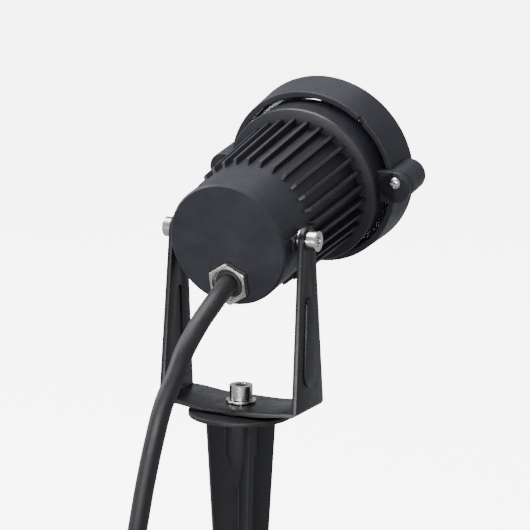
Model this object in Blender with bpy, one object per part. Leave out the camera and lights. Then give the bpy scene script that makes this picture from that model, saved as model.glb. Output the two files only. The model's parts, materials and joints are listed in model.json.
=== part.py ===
"""Garden light projector on a ground stake.

A die-cast lamp head with cooling fins hangs in a steel yoke, and the yoke turns on a bolt
in the collar of a plastic stake. +Z is up, the lamp shines towards -Y and its tilt axis
runs along X. The origin is on the stake's axis, at the underside of the collar.
"""
import math

import bmesh
import bpy
from mathutils import Matrix, Vector

# ---------------------------------------------------------------- clearances
GAP = 0.0003                    # between pieces that touch
SCREW_GAP = 0.0003              # radial, round every screw shank
WELD = 0.000002                 # corners closer than this become one

# ---------------------------------------------------------------- stake
STAKE_LENGTH = 0.175
STAKE_POINT = 0.025
BLADE_TOP_HALF = 0.0155
BLADE_LOW_HALF = 0.0068
BLADE_TIP_HALF = 0.0010
BLADE_THICKNESS = 0.0026
COLLAR_RADIUS = 0.0225
COLLAR_THICKNESS = 0.0020
HUB_RADIUS = 0.0110
HUB_HEIGHT = 0.0010
CORE_RADIUS = 0.0075
CORE_LENGTH = 0.0160
CORE_TAPER = 0.0200

# ---------------------------------------------------------------- base bolt, M6
BASE_SHANK = 0.0030
BASE_HEAD_RADIUS = 0.0050
BASE_HEAD_HEIGHT = 0.0060
BASE_BOLT_LENGTH = 0.0200
BASE_WASHER_RADIUS = 0.0065
BASE_WASHER_THICKNESS = 0.0010
BASE_NUT_FLATS = 0.0100
BASE_NUT_HEIGHT = 0.0050
BASE_NUT_DEPTH = 0.0043         # top of the nut under the collar's underside

# ---------------------------------------------------------------- yoke
SHEET = 0.0020
PIVOT_HEIGHT = 0.0780
PLATE_DISH = 0.0016             # the middle of the base plate sits lower than its ends
ARM_TOP_RADIUS = 0.0061
ARM_SPLAY = 0.0011              # the arms stand this much wider at their feet, on each side
ARM_FOOT_HALF = 0.0137
BEND_RADIUS = 0.0025            # outside of the bends
RIB_DEPTH = 0.0007
RIB_TOP = 0.0240                # top of the rib below the pivot
RIB_BOTTOM = 0.0625
RIB_TOP_HALF = 0.0031
RIB_BOTTOM_HALF = 0.0056

# ---------------------------------------------------------------- tilt pivot, M5
TILT = math.radians(12)         # the lamp looks up by this much at rest
PIVOT_FROM_REAR = 0.0133
PIVOT_BOSS_RADIUS = 0.0052
PIVOT_BOSS_HEIGHT = 0.00095     # outside the housing's barrel
PIVOT_BOSS_DEPTH = 0.0043       # inside the housing's barrel
PIVOT_PAD_LENGTH = 0.0140
PIVOT_PAD_WIDTH = 0.0064
PIVOT_WASHER_RADIUS = 0.0050
PIVOT_WASHER_THICKNESS = 0.0010
PIVOT_SHANK = 0.0025
PIVOT_HEAD_RADIUS = 0.00425
PIVOT_HEAD_HEIGHT = 0.0042
PIVOT_BOLT_LENGTH = 0.0110

# ---------------------------------------------------------------- lamp housing
BARREL_RADIUS = 0.0268
BARREL_WALL = 0.0040
REAR_WALL = 0.0050
REAR_EDGE = 0.0008
FIN_COUNT = 30
FIN_THICKNESS = 0.0016
FIN_START = 0.0232              # distances along the lamp start at its rear face
FIN_END = 0.0700
FIN_RAMP = 0.0018               # each fin rises over this length at its rear end
FIN_REAR_HEIGHT = 0.0026
FIN_FRONT_HEIGHT = 0.0034
BARREL_FLARE = 0.0014           # growth of the barrel under the fins
FLANGE_EDGE = 0.0706
FLANGE_RADIUS = 0.0352
FLANGE_LIP = 0.0004
SPIGOT_RADIUS = 0.0350
SPIGOT_END = 0.0860
SPIGOT_WALL = 0.0035
SEAT_DEPTH = 0.0557             # ledge that the heat plate sits on
SEAT_STEP = 0.0020
MOUTH_START = 0.0710
MOUTH_END = 0.0775

# ---------------------------------------------------------------- hood and its screws
HOOD_REAR = 0.0815
HOOD_FRONT = 0.1007
HOOD_CLEARANCE = 0.0022         # between the housing's spigot and the hood's bore
HOOD_WALL = 0.0027
HOOD_FLARE = 0.0013
HOOD_LEDGE = 0.0037             # how far the ledge laps the glass
LEDGE_THICKNESS = 0.0015
LUG_ANGLES = (math.radians(180), math.radians(3))
LUG_RADIUS = 0.0072
LUG_OFFSET = 0.0017             # lug centre outside the hood's rear rim
LUG_LENGTH = 0.0172
EAR_THICKNESS = 0.0036
NOTCH_ANGLE = math.radians(133)
NOTCH_WIDTH = 0.0030
NOTCH_DEPTH = 0.0012
LUG_SCREW_ANGLES = (math.radians(176.5), math.radians(3.5))
LUG_SCREW_OFFSET = 0.0012       # screw centre outside the lug centre
LUG_SCREW_SHANK = 0.0015
LUG_SCREW_LENGTH = 0.0150
LUG_SCREW_HEAD = 0.0026
LUG_SCREW_HEAD_HEIGHT = 0.0020

# ---------------------------------------------------------------- optics and light source
GLASS_THICKNESS = 0.0040
GLASS_CLEARANCE = 0.0007
GASKET_THICKNESS = 0.0010
HEAT_PLATE_THICKNESS = 0.0030
PAD_THICKNESS = 0.0005
LED_BOARD_THICKNESS = 0.0016
LED_BOARD_RADIUS = 0.0120
LED_EMITTER_RADIUS = 0.0065
LED_EMITTER_THICKNESS = 0.0006
HOLDER_RADIUS = 0.0177
HOLDER_OPENING = 0.0082
HOLDER_ROOF = 0.0016
HOLDER_SCREW_CIRCLE = 0.0151
HOLDER_SCREW_SHANK = 0.0012
HOLDER_SCREW_HEAD = 0.0020
HOLDER_SCREW_HEAD_HEIGHT = 0.0013
REFLECTOR_WALL = 0.0012
REFLECTOR_THROAT = 0.0090
PLATE_SCREW_ANGLES = tuple(math.radians(angle) for angle in (90, 210, 330))
PLATE_SCREW_SHANK = 0.0015
PLATE_SCREW_HEAD = 0.0025
PLATE_SCREW_HEAD_HEIGHT = 0.0020
PLATE_SCREW_LENGTH = 0.0120
PILLAR_RADIUS = 0.0030
PILLAR_LENGTH = 0.0115
LEAD_HOLE_RADIUS = 0.0030
LEAD_HOLE_ANGLE = math.radians(150)
LEAD_HOLE_CIRCLE = 0.0195
LEAD_RADIUS = 0.0008

# ---------------------------------------------------------------- driver
BOARD_HALF_WIDTH = 0.0172
BOARD_THICKNESS = 0.0016
BOARD_LENGTH = 0.0350
BOARD_UNDERSIDE = -0.0040       # below the lamp's axis
BOARD_START = 0.0070
RAIL_THICKNESS = 0.0030
RAIL_REACH = 0.0042             # how far a rail laps the board
BOARD_SCREW_FROM_EDGE = 0.0021
BOARD_SCREW_SHANK = 0.0012
BOARD_SCREW_HEAD = 0.0019
BOARD_SCREW_HEAD_HEIGHT = 0.0014
WIRE_RADIUS = 0.0009

# ---------------------------------------------------------------- gland and cord
GLAND_DROP = 0.0165             # below the lamp's axis
GLAND_FLATS = 0.0162
GLAND_CORNER = math.radians(88)
GLAND_NUT_THICKNESS = 0.0030
GLAND_THREAD_WALL = 0.00085
GLAND_RECESS_RADIUS = 0.0070
GLAND_RECESS_DEPTH = 0.0024
SEAL_RECESS = 0.0014
SEAL_WALL = 0.0016
CORD_RADIUS = 0.0041
CORD_INSIDE = 0.0090            # the cord ends this far inside the rear face

# ---------------------------------------------------------------- coil and plug
COIL_INNER = 0.0387             # centre line of the inner turns
COIL_OUTER = 0.0470             # centre line of the outer turns
COIL_SLACK = 0.0042             # room inside the inner turns where the cord changes layer
COIL_LIFT = 0.0014
COIL_LAYER = 0.0083
TIE_ANGLE = math.radians(300)
TIE_WIDTH = 0.0080
TIE_THICKNESS = 0.0010
PLUG_HEADING = math.radians(-80)
PLUG_RISE = math.radians(18.4)  # it rests on its flange and on the end of its boot
PLUG_RADIUS = 0.0185
PIN_RADIUS = 0.0024
PIN_LENGTH = 0.0190
PIN_SPACING = 0.0190

# Route of the hanging cord outside the gland, down to where it bends towards the coil.
CORD_ROUTE = (
    (0.0001, 0.0183, 0.0560),
    (0.0005, 0.0255, 0.0520),
    (0.0016, 0.0338, 0.0461),
    (0.0036, 0.0428, 0.0364),
    (0.0047, 0.0475, 0.0279),
    (0.0077, 0.0530, 0.0159),
    (0.0103, 0.0565, 0.0006),
    (0.0132, 0.0590, -0.0175),
    (0.0159, 0.0609, -0.0366),
    (0.0194, 0.0625, -0.0580),
    (0.0217, 0.0632, -0.0800),
    (0.0235, 0.0633, -0.1000),
)
LANDING_X = 0.0240
LANDING_Y = 0.0630
ROUTE_DROP = 0.1129                 # depth of the landing that CORD_ROUTE is drawn for
LANDING_BEND = 0.0483
LANDING_HEADING = math.radians(205)
LANDING_TURN = math.radians(52)     # the modelled cord ends here, just over the coil
TAIL_CENTRE = Vector((-0.0122, 0.0097, 0.0))
TAIL_BEND = 0.0510
TAIL_FROM = math.radians(63)
TAIL_TO = math.radians(190)
TAIL_STRAIGHT = 0.0400
TAIL_SIT = 0.0143                   # length over which the tail rises to the plug

# ---------------------------------------------------------------- derived places
COLLAR_TOP = COLLAR_THICKNESS
HUB_TOP = COLLAR_TOP + HUB_HEIGHT
PLATE_BOTTOM = HUB_TOP + GAP
PLATE_TOP = PLATE_BOTTOM + SHEET
BASE_WASHER_BOTTOM = PLATE_TOP + GAP
BASE_HEAD_BOTTOM = BASE_WASHER_BOTTOM + BASE_WASHER_THICKNESS + GAP
GROUND_LEVEL = -STAKE_LENGTH
CAVITY_RADIUS = BARREL_RADIUS - BARREL_WALL
SEAT_RADIUS = CAVITY_RADIUS + SEAT_STEP
BOSS_FACE = BARREL_RADIUS + PIVOT_BOSS_HEIGHT
PIVOT_WASHER_INNER = BOSS_FACE + GAP
ARM_INNER = PIVOT_WASHER_INNER + PIVOT_WASHER_THICKNESS + GAP
ARM_OUTER = ARM_INNER + SHEET
ARM_FOOT_OUTER = ARM_OUTER + ARM_SPLAY
ARM_LEAN = math.atan2(ARM_SPLAY, PIVOT_HEIGHT - PLATE_BOTTOM - PLATE_DISH - BEND_RADIUS)
PIVOT_HEAD_INNER = ARM_OUTER + GAP
HOOD_BORE = SPIGOT_RADIUS + HOOD_CLEARANCE
HOOD_REAR_RADIUS = HOOD_BORE + HOOD_WALL
HOOD_FRONT_RADIUS = HOOD_REAR_RADIUS + HOOD_FLARE
LUG_CIRCLE = HOOD_REAR_RADIUS + LUG_OFFSET
LUG_SCREW_CIRCLE = LUG_CIRCLE + LUG_SCREW_OFFSET
EAR_FRONT = HOOD_REAR - GAP
EAR_REAR = EAR_FRONT - EAR_THICKNESS
GASKET_REAR = SPIGOT_END + GAP
GLASS_REAR = GASKET_REAR + GASKET_THICKNESS + GAP
GLASS_FRONT = GLASS_REAR + GLASS_THICKNESS
LEDGE_REAR = GLASS_FRONT + GAP
LEDGE_FRONT = LEDGE_REAR + LEDGE_THICKNESS
MOUTH_RADIUS = SPIGOT_RADIUS - SPIGOT_WALL
HEAT_PLATE_REAR = SEAT_DEPTH + GAP
HEAT_PLATE_FRONT = HEAT_PLATE_REAR + HEAT_PLATE_THICKNESS
PAD_REAR = HEAT_PLATE_FRONT + GAP
LED_BOARD_REAR = PAD_REAR + PAD_THICKNESS + GAP
LED_BOARD_FRONT = LED_BOARD_REAR + LED_BOARD_THICKNESS
EMITTER_REAR = LED_BOARD_FRONT + GAP
HOLDER_INSIDE = LED_BOARD_FRONT + GAP
HOLDER_FRONT = HOLDER_INSIDE + HOLDER_ROOF
REFLECTOR_REAR = HOLDER_FRONT + GAP
PLATE_SCREW_CIRCLE = CAVITY_RADIUS - 0.0022
BOARD_TOP = BOARD_UNDERSIDE + BOARD_THICKNESS
BOARD_END = BOARD_START + BOARD_LENGTH
BOARD_SCREW_STATION = BOARD_END - 0.0060
RAIL_TOP = BOARD_UNDERSIDE - GAP
BOARD_SCREW_X = BOARD_HALF_WIDTH - BOARD_SCREW_FROM_EDGE
SEAL_BORE = CORD_RADIUS + GAP
SEAL_RADIUS = SEAL_BORE + SEAL_WALL
GLAND_BORE = SEAL_RADIUS + GAP
GLAND_THREAD = GLAND_BORE + GLAND_THREAD_WALL
GLAND_NUT_REAR = -GAP - GLAND_NUT_THICKNESS
COIL_BOTTOM = GROUND_LEVEL + COIL_LIFT
COIL_TOP = COIL_BOTTOM + COIL_LAYER + 2 * CORD_RADIUS
LANDING_Z = COIL_BOTTOM + COIL_LAYER + CORD_RADIUS + LANDING_BEND
LANDING_START = Vector((LANDING_X, LANDING_Y, LANDING_Z))
RING_INSIDE = COIL_INNER - CORD_RADIUS - COIL_SLACK
RING_OUTSIDE = COIL_OUTER + CORD_RADIUS + 0.0002


# ---------------------------------------------------------------- building tools
def clear_scene():
    for existing in list(bpy.data.objects):
        bpy.data.objects.remove(existing, do_unlink=True)


def finish_material(name, color, roughness, metallic=0.0):
    """A plain Principled material, made once."""
    material = bpy.data.materials.get(name)
    if material is None:
        material = bpy.data.materials.new(name)
        material.use_nodes = True
        shader = material.node_tree.nodes["Principled BSDF"]
        shader.inputs["Base Color"].default_value = (*color, 1.0)
        shader.inputs["Roughness"].default_value = roughness
        shader.inputs["Metallic"].default_value = metallic
    return material


def place_mesh(name, shape, smooth=True):
    """Turn a bmesh into an object whose faces point outwards."""
    bmesh.ops.recalc_face_normals(shape, faces=shape.faces)
    mesh = bpy.data.meshes.new(name)
    shape.to_mesh(mesh)
    shape.free()
    if smooth:
        mesh.shade_smooth()
        mesh.set_sharp_from_angle(angle=math.radians(35))
    placed = bpy.data.objects.new(name, mesh)
    bpy.context.scene.collection.objects.link(placed)
    return placed


def give_finish(piece, material, parent=None):
    """Give a finished piece its material and hang it on its parent empty."""
    piece.data.materials.clear()
    piece.data.materials.append(material)
    piece.parent = parent
    return piece


def circle_angles(count):
    return [2 * math.pi * step / count for step in range(count)]


def add_ring(shape, radius, height, angles):
    return [
        shape.verts.new((radius * math.cos(angle), radius * math.sin(angle), height))
        for angle in angles
    ]


def join_rings(shape, lower, upper):
    """Faces between two rings; a ring of one vertex is a pole."""
    count = max(len(lower), len(upper))
    for step in range(count):
        following = (step + 1) % count
        if len(lower) == 1:
            shape.faces.new((lower[0], upper[following], upper[step]))
        elif len(upper) == 1:
            shape.faces.new((lower[step], lower[following], upper[0]))
        else:
            shape.faces.new((lower[step], lower[following], upper[following], upper[step]))


def turned(name, profile, segments=48, closed=False):
    """Revolve (radius, height) points about Z.

    An open profile starts and ends on the axis. A closed one is the section of a ring.
    """
    shape = bmesh.new()
    angles = circle_angles(segments)
    rings = []
    for radius, height in profile:
        if radius == 0:
            rings.append([shape.verts.new((0, 0, height))])
        else:
            rings.append(add_ring(shape, radius, height, angles))
    for lower, upper in zip(rings, rings[1:]):
        join_rings(shape, lower, upper)
    if closed:
        join_rings(shape, rings[-1], rings[0])
    return place_mesh(name, shape)


def rod(name, radius, low, high, segments=32, radius_high=None):
    """A straight round bar, or a cone, along Z."""
    end_radius = radius if radius_high is None else radius_high
    return turned(name, [(0, low), (radius, low), (end_radius, high), (0, high)], segments)


def tube_ring(name, inner, outer, low, high, segments=48):
    profile = [(inner, low), (outer, low), (outer, high), (inner, high)]
    return turned(name, profile, segments, closed=True)


def prism(name, outline, low, high, smooth=True):
    """Extrude an outline in the XY plane from one height to another."""
    shape = bmesh.new()
    bottom = [shape.verts.new((x, y, low)) for x, y in outline]
    top = [shape.verts.new((x, y, high)) for x, y in outline]
    shape.faces.new(bottom)
    shape.faces.new(top)
    for step in range(len(outline)):
        following = (step + 1) % len(outline)
        shape.faces.new((bottom[step], bottom[following], top[following], top[step]))
    return place_mesh(name, shape, smooth)


def box(name, low, high):
    outline = [(low[0], low[1]), (high[0], low[1]), (high[0], high[1]), (low[0], high[1])]
    return prism(name, outline, low[2], high[2], smooth=False)


def hexagon(flats, turn=0.0):
    """Corner points of a hexagon, the first one at the given angle."""
    corner = flats / math.sqrt(3)
    angles = [turn + math.radians(60 * step) for step in range(6)]
    return [(corner * math.cos(angle), corner * math.sin(angle)) for angle in angles]


def move(piece, matrix):
    """Apply a placement to the mesh itself."""
    piece.data.transform(matrix)
    return piece


def shift(piece, x=0.0, y=0.0, z=0.0):
    return move(piece, Matrix.Translation((x, y, z)))


def lay_along_x(piece, side=1):
    """Turn a piece built along +Z so that it runs along +X, or along -X."""
    return move(piece, Matrix.Rotation(side * math.pi / 2, 4, "Y"))


def combine(piece, tool, operation):
    """Join a tool to a piece or cut the piece with it, and use the tool up."""
    modifier = piece.modifiers.new(operation.title(), "BOOLEAN")
    modifier.operation = operation
    modifier.solver = "EXACT"
    modifier.object = tool
    bpy.context.view_layer.update()
    evaluated = piece.evaluated_get(bpy.context.evaluated_depsgraph_get())
    result = bpy.data.meshes.new_from_object(evaluated)
    piece.modifiers.remove(modifier)
    shape = bmesh.new()
    shape.from_mesh(result)
    bmesh.ops.remove_doubles(shape, verts=shape.verts, dist=WELD)
    bmesh.ops.dissolve_degenerate(shape, edges=shape.edges, dist=WELD)
    shape.to_mesh(result)
    shape.free()
    piece.data = result
    bpy.data.objects.remove(tool, do_unlink=True)
    return piece


def add(piece, tool):
    return combine(piece, tool, "UNION")


def cut(piece, tool):
    return combine(piece, tool, "DIFFERENCE")


def smooth_points(route, spacing):
    """Points at about equal spacing on a smooth curve through the route."""
    points = [Vector(point) for point in route]
    before = points[0] * 2 - points[1]
    after = points[-1] * 2 - points[-2]
    padded = [before, *points, after]
    samples = []
    for index in range(1, len(padded) - 2):
        start, end = padded[index], padded[index + 1]
        leave = (end - padded[index - 1]) / 2
        arrive = (padded[index + 2] - start) / 2
        steps = max(1, round((end - start).length / spacing))
        for step in range(steps):
            t = step / steps
            samples.append(
                start * (2 * t**3 - 3 * t**2 + 1)
                + leave * (t**3 - 2 * t**2 + t)
                + end * (3 * t**2 - 2 * t**3)
                + arrive * (t**3 - t**2)
            )
    samples.append(points[-1])
    return samples


def cable(name, route, radius, material, parent=None, spacing=0.012, sides=2):
    """A round cord or wire along a smooth route."""
    curve = bpy.data.curves.new(name, "CURVE")
    curve.dimensions = "3D"
    curve.bevel_depth = radius
    curve.bevel_resolution = sides
    curve.use_fill_caps = True
    spline = curve.splines.new("POLY")
    samples = smooth_points(route, spacing)
    spline.points.add(len(samples) - 1)
    for point, place in zip(spline.points, samples):
        point.co = (*place, 1.0)
    piece = bpy.data.objects.new(name, curve)
    piece.data.materials.append(material)
    bpy.context.scene.collection.objects.link(piece)
    piece.parent = parent
    return piece


def cap_screw(name, head_radius, head_height, shank_radius, length, socket_flats):
    """Socket head screw along Z: the head is above zero and the shank below."""
    chamfer = head_radius * 0.08
    profile = [
        (0, -length),
        (shank_radius - chamfer, -length),
        (shank_radius, -length + chamfer),
        (shank_radius, 0),
        (head_radius, 0),
        (head_radius, head_height - chamfer),
        (head_radius - chamfer, head_height),
        (0, head_height),
    ]
    screw = turned(name, profile, 24)
    socket_depth = head_height / 2
    socket = prism("socket", hexagon(socket_flats), head_height - socket_depth, head_height + GAP)
    return cut(screw, socket)


def flat_screw(name, head_radius, head_height, shank_radius, length):
    """Low cross-head screw along Z: the head is above zero and the shank below."""
    profile = [
        (0, -length),
        (shank_radius, -length),
        (shank_radius, 0),
        (head_radius, 0),
        (head_radius, head_height * 0.6),
        (head_radius * 0.7, head_height),
        (0, head_height),
    ]
    return turned(name, profile, 14)


def on_circle(radius, angle):
    return radius * math.cos(angle), radius * math.sin(angle)


# ---------------------------------------------------------------- finishes
def make_finishes():
    return {
        "cast_body": finish_material("cast_body", (0.085, 0.085, 0.10), 0.55),
        "steel_yoke": finish_material("steel_yoke", (0.05, 0.05, 0.055), 0.30),
        "stake_plastic": finish_material("stake_plastic", (0.05, 0.05, 0.055), 0.55),
        "bright_steel": finish_material("bright_steel", (0.72, 0.72, 0.72), 0.25, 1.0),
        "gland_nickel": finish_material("gland_nickel", (0.70, 0.68, 0.64), 0.22, 1.0),
        "seal_rubber": finish_material("seal_rubber", (0.03, 0.03, 0.03), 0.75),
        "cord_rubber": finish_material("cord_rubber", (0.04, 0.04, 0.045), 0.60),
        "plug_rubber": finish_material("plug_rubber", (0.04, 0.04, 0.04), 0.60),
        "pin_metal": finish_material("pin_metal", (0.75, 0.73, 0.68), 0.25, 1.0),
        "clear_glass": finish_material("clear_glass", (0.85, 0.90, 0.90), 0.05),
        "mirror_bowl": finish_material("mirror_bowl", (0.90, 0.90, 0.90), 0.08, 1.0),
        "bare_aluminium": finish_material("bare_aluminium", (0.75, 0.75, 0.76), 0.40, 1.0),
        "led_white": finish_material("led_white", (0.85, 0.85, 0.82), 0.45),
        "led_phosphor": finish_material("led_phosphor", (0.90, 0.75, 0.20), 0.50),
        "board_green": finish_material("board_green", (0.03, 0.22, 0.08), 0.45),
        "part_black": finish_material("part_black", (0.03, 0.03, 0.03), 0.45),
        "part_yellow": finish_material("part_yellow", (0.70, 0.55, 0.12), 0.45),
        "wire_brown": finish_material("wire_brown", (0.20, 0.08, 0.04), 0.45),
        "wire_blue": finish_material("wire_blue", (0.05, 0.15, 0.55), 0.45),
        "wire_green": finish_material("wire_green", (0.25, 0.55, 0.05), 0.45),
        "wire_red": finish_material("wire_red", (0.55, 0.03, 0.03), 0.45),
    }


# ---------------------------------------------------------------- stake
def cross_section(shape, half_span, half_thickness, height):
    """Twelve corners of a cross whose arms point along the diagonals."""
    corners = []
    for arm in range(4):
        angle = math.radians(45 + 90 * arm)
        along = Vector((math.cos(angle), math.sin(angle), 0))
        across = Vector((-math.sin(angle), math.cos(angle), 0))
        corners.append(along * half_span - across * half_thickness)
        corners.append(along * half_span + across * half_thickness)
        corners.append((along + across) * half_thickness)
    return [shape.verts.new((corner.x, corner.y, height)) for corner in corners]


def make_blades():
    """The stake's crossed blades, running down to a point."""
    shape = bmesh.new()
    half = BLADE_THICKNESS / 2
    rings = [
        cross_section(shape, BLADE_TIP_HALF + half, half * 0.9, -STAKE_LENGTH),
        cross_section(shape, BLADE_LOW_HALF, half, -STAKE_LENGTH + STAKE_POINT),
        cross_section(shape, BLADE_TOP_HALF, half, COLLAR_THICKNESS / 2),
    ]
    for lower, upper in zip(rings, rings[1:]):
        join_rings(shape, lower, upper)
    shape.faces.new(rings[0])
    shape.faces.new(rings[-1])
    return place_mesh("blades", shape, smooth=False)


def make_stake(finish):
    stake = turned("ground_stake", [
        (0, -CORE_LENGTH - CORE_TAPER),
        (BLADE_THICKNESS / 4, -CORE_LENGTH - CORE_TAPER),
        (CORE_RADIUS, -CORE_LENGTH),
        (CORE_RADIUS, 0),
        (COLLAR_RADIUS, 0),
        (COLLAR_RADIUS, COLLAR_TOP),
        (HUB_RADIUS, COLLAR_TOP),
        (HUB_RADIUS, HUB_TOP),
        (0, HUB_TOP),
    ], 48)
    add(stake, make_blades())
    nut_top = -BASE_NUT_DEPTH + GAP
    nut_bottom = -BASE_NUT_DEPTH - BASE_NUT_HEIGHT - GAP
    slot_half = BASE_NUT_FLATS / 2 + GAP
    slot_end = -BASE_NUT_FLATS / math.sqrt(3) - GAP
    slot = box("slot", (slot_end, -slot_half, nut_bottom), (COLLAR_RADIUS, slot_half, nut_top))
    cut(stake, slot)
    hole = rod("hole", BASE_SHANK + SCREW_GAP, -CORE_LENGTH, HUB_TOP + GAP, 32)
    cut(stake, hole)
    return give_finish(stake, finish["stake_plastic"])


def make_base_hardware(finish):
    bolt = cap_screw(
        "base_bolt", BASE_HEAD_RADIUS, BASE_HEAD_HEIGHT, BASE_SHANK, BASE_BOLT_LENGTH, 0.0050
    )
    give_finish(shift(bolt, z=BASE_HEAD_BOTTOM), finish["bright_steel"])
    washer = tube_ring(
        "base_washer", BASE_SHANK + SCREW_GAP, BASE_WASHER_RADIUS,
        BASE_WASHER_BOTTOM, BASE_WASHER_BOTTOM + BASE_WASHER_THICKNESS, 32,
    )
    give_finish(washer, finish["bright_steel"])
    nut_bottom = -BASE_NUT_DEPTH - BASE_NUT_HEIGHT
    nut = prism("base_nut", hexagon(BASE_NUT_FLATS), nut_bottom, -BASE_NUT_DEPTH, smooth=False)
    cut(nut, rod("hole", BASE_SHANK + SCREW_GAP, nut_bottom - GAP, GAP - BASE_NUT_DEPTH, 24))
    give_finish(nut, finish["bright_steel"])


# ---------------------------------------------------------------- yoke
def plate_height(x):
    """Underside of the base plate: flat over the hub and rising to its ends."""
    flat_end = HUB_RADIUS
    rise_end = ARM_FOOT_OUTER - BEND_RADIUS
    share = min(1.0, max(0.0, (abs(x) - flat_end) / (rise_end - flat_end)))
    return PLATE_BOTTOM + PLATE_DISH * (1 - math.cos(math.pi * share)) / 2


def yoke_side(offset):
    """Half of the bent sheet's outline from its middle to the top of one arm.

    The offset is zero on the outside of the bend and the sheet's thickness on the inside.
    """
    rise_end = ARM_FOOT_OUTER - BEND_RADIUS
    steps = 8
    points = [(0.0, PLATE_BOTTOM + offset)]
    for step in range(steps + 1):
        x = HUB_RADIUS + (rise_end - HUB_RADIUS) * step / steps
        points.append((x, plate_height(x) + offset))
    centre_z = PLATE_BOTTOM + PLATE_DISH + BEND_RADIUS
    radius = BEND_RADIUS - offset
    for step in range(1, 6):
        angle = math.pi / 2 * step / 5
        points.append((rise_end + radius * math.sin(angle), centre_z - radius * math.cos(angle)))
    over_pivot = ARM_TOP_RADIUS + SHEET
    top_x = ARM_OUTER - over_pivot * math.tan(ARM_LEAN)
    points.append((top_x - offset, PIVOT_HEIGHT + over_pivot))
    return points


def arm_outline():
    """Outline of the arms seen along X: a wide foot and a round top."""
    foot_z = PLATE_BOTTOM - SHEET
    reach = PIVOT_HEIGHT - PLATE_BOTTOM
    slope = math.atan2(ARM_FOOT_HALF - ARM_TOP_RADIUS, reach)
    points = [(-ARM_FOOT_HALF, foot_z), (ARM_FOOT_HALF, foot_z)]
    for step in range(17):
        angle = slope + (math.pi - 2 * slope) * step / 16
        y = ARM_TOP_RADIUS * math.cos(angle)
        z = PIVOT_HEIGHT + ARM_TOP_RADIUS * math.sin(angle)
        points.append((y, z))
    return points


def rib_pad(low_x, high_x, shrink):
    """Tapered pad of the pressed rib, with a round top and a round foot."""
    top_z = PIVOT_HEIGHT - RIB_TOP
    bottom_z = PIVOT_HEIGHT - RIB_BOTTOM
    top_half = RIB_TOP_HALF - shrink
    bottom_half = RIB_BOTTOM_HALF - shrink
    points = []
    for step in range(9):
        angle = math.pi * step / 8
        points.append((top_half * math.cos(angle), top_z - RIB_TOP_HALF + top_half * math.sin(angle)))
    for step in range(9):
        angle = math.pi + math.pi * step / 8
        foot = bottom_z + RIB_BOTTOM_HALF + bottom_half * math.sin(angle)
        points.append((bottom_half * math.cos(angle), foot))
    pad = prism("rib", points, low_x, high_x, smooth=False)
    upright = Matrix(((0, 0, 1, 0), (1, 0, 0, 0), (0, 1, 0, 0), (0, 0, 0, 1)))
    return move(pad, upright)


def make_yoke(finish):
    half_outside = yoke_side(0.0)
    half_inside = yoke_side(SHEET)
    outside = [(-x, z) for x, z in reversed(half_outside)] + half_outside[1:]
    inside = [(-x, z) for x, z in reversed(half_inside)] + half_inside[1:]
    outline = outside + list(reversed(inside))
    sheet_half = ARM_FOOT_HALF + SHEET
    yoke = prism("yoke_bracket", outline, -sheet_half, sheet_half)
    move(yoke, Matrix.Rotation(math.pi / 2, 4, "X"))
    side = prism("side", arm_outline(), -ARM_OUTER - 2 * SHEET, ARM_OUTER + 2 * SHEET, smooth=False)
    move(side, Matrix(((0, 0, 1, 0), (1, 0, 0, 0), (0, 1, 0, 0), (0, 0, 0, 1))))
    combine(yoke, side, "INTERSECT")
    for direction in (-1, 1):
        top = Matrix.Translation((direction * ARM_OUTER, 0, PIVOT_HEIGHT))
        lean = top @ Matrix.Rotation(-direction * ARM_LEAN, 4, "Y") @ top.inverted()
        pad = sorted((direction * (ARM_OUTER - SHEET / 2), direction * (ARM_OUTER + RIB_DEPTH)))
        add(yoke, move(rib_pad(pad[0], pad[1], 0.0), lean))
        dent = sorted((direction * (ARM_INNER - SHEET), direction * (ARM_INNER + RIB_DEPTH)))
        cut(yoke, move(rib_pad(dent[0], dent[1], RIB_DEPTH), lean))
    pivot_hole = rod("hole", PIVOT_SHANK + SCREW_GAP, -ARM_OUTER - SHEET, ARM_OUTER + SHEET, 24)
    cut(yoke, shift(lay_along_x(pivot_hole), z=PIVOT_HEIGHT))
    cut(yoke, rod("hole", BASE_SHANK + SCREW_GAP, 0, PLATE_TOP + SHEET, 24))
    yoke.data.shade_smooth()
    yoke.data.set_sharp_from_angle(angle=math.radians(35))
    return give_finish(yoke, finish["steel_yoke"])


# ---------------------------------------------------------------- lamp housing
def fin_ring(shape, radius, height):
    """A ring with a vertex at both foot edges of each fin and one between the fins."""
    angles = []
    half = math.asin(FIN_THICKNESS / 2 / max(radius, FIN_THICKNESS))
    pitch = 2 * math.pi / FIN_COUNT
    for fin in range(FIN_COUNT):
        middle = math.pi / 2 + fin * pitch
        angles += [middle - half, middle + half, middle + pitch / 2]
    return add_ring(shape, radius, height, angles)


def crest_points(shape, radius, height):
    """Both top corners of each fin's section."""
    corners = []
    half = math.asin(FIN_THICKNESS / 2 / radius)
    for fin in range(FIN_COUNT):
        middle = math.pi / 2 + fin * 2 * math.pi / FIN_COUNT
        corners.append([
            shape.verts.new((radius * math.cos(angle), radius * math.sin(angle), height))
            for angle in (middle - half, middle + half)
        ])
    return corners


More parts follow.
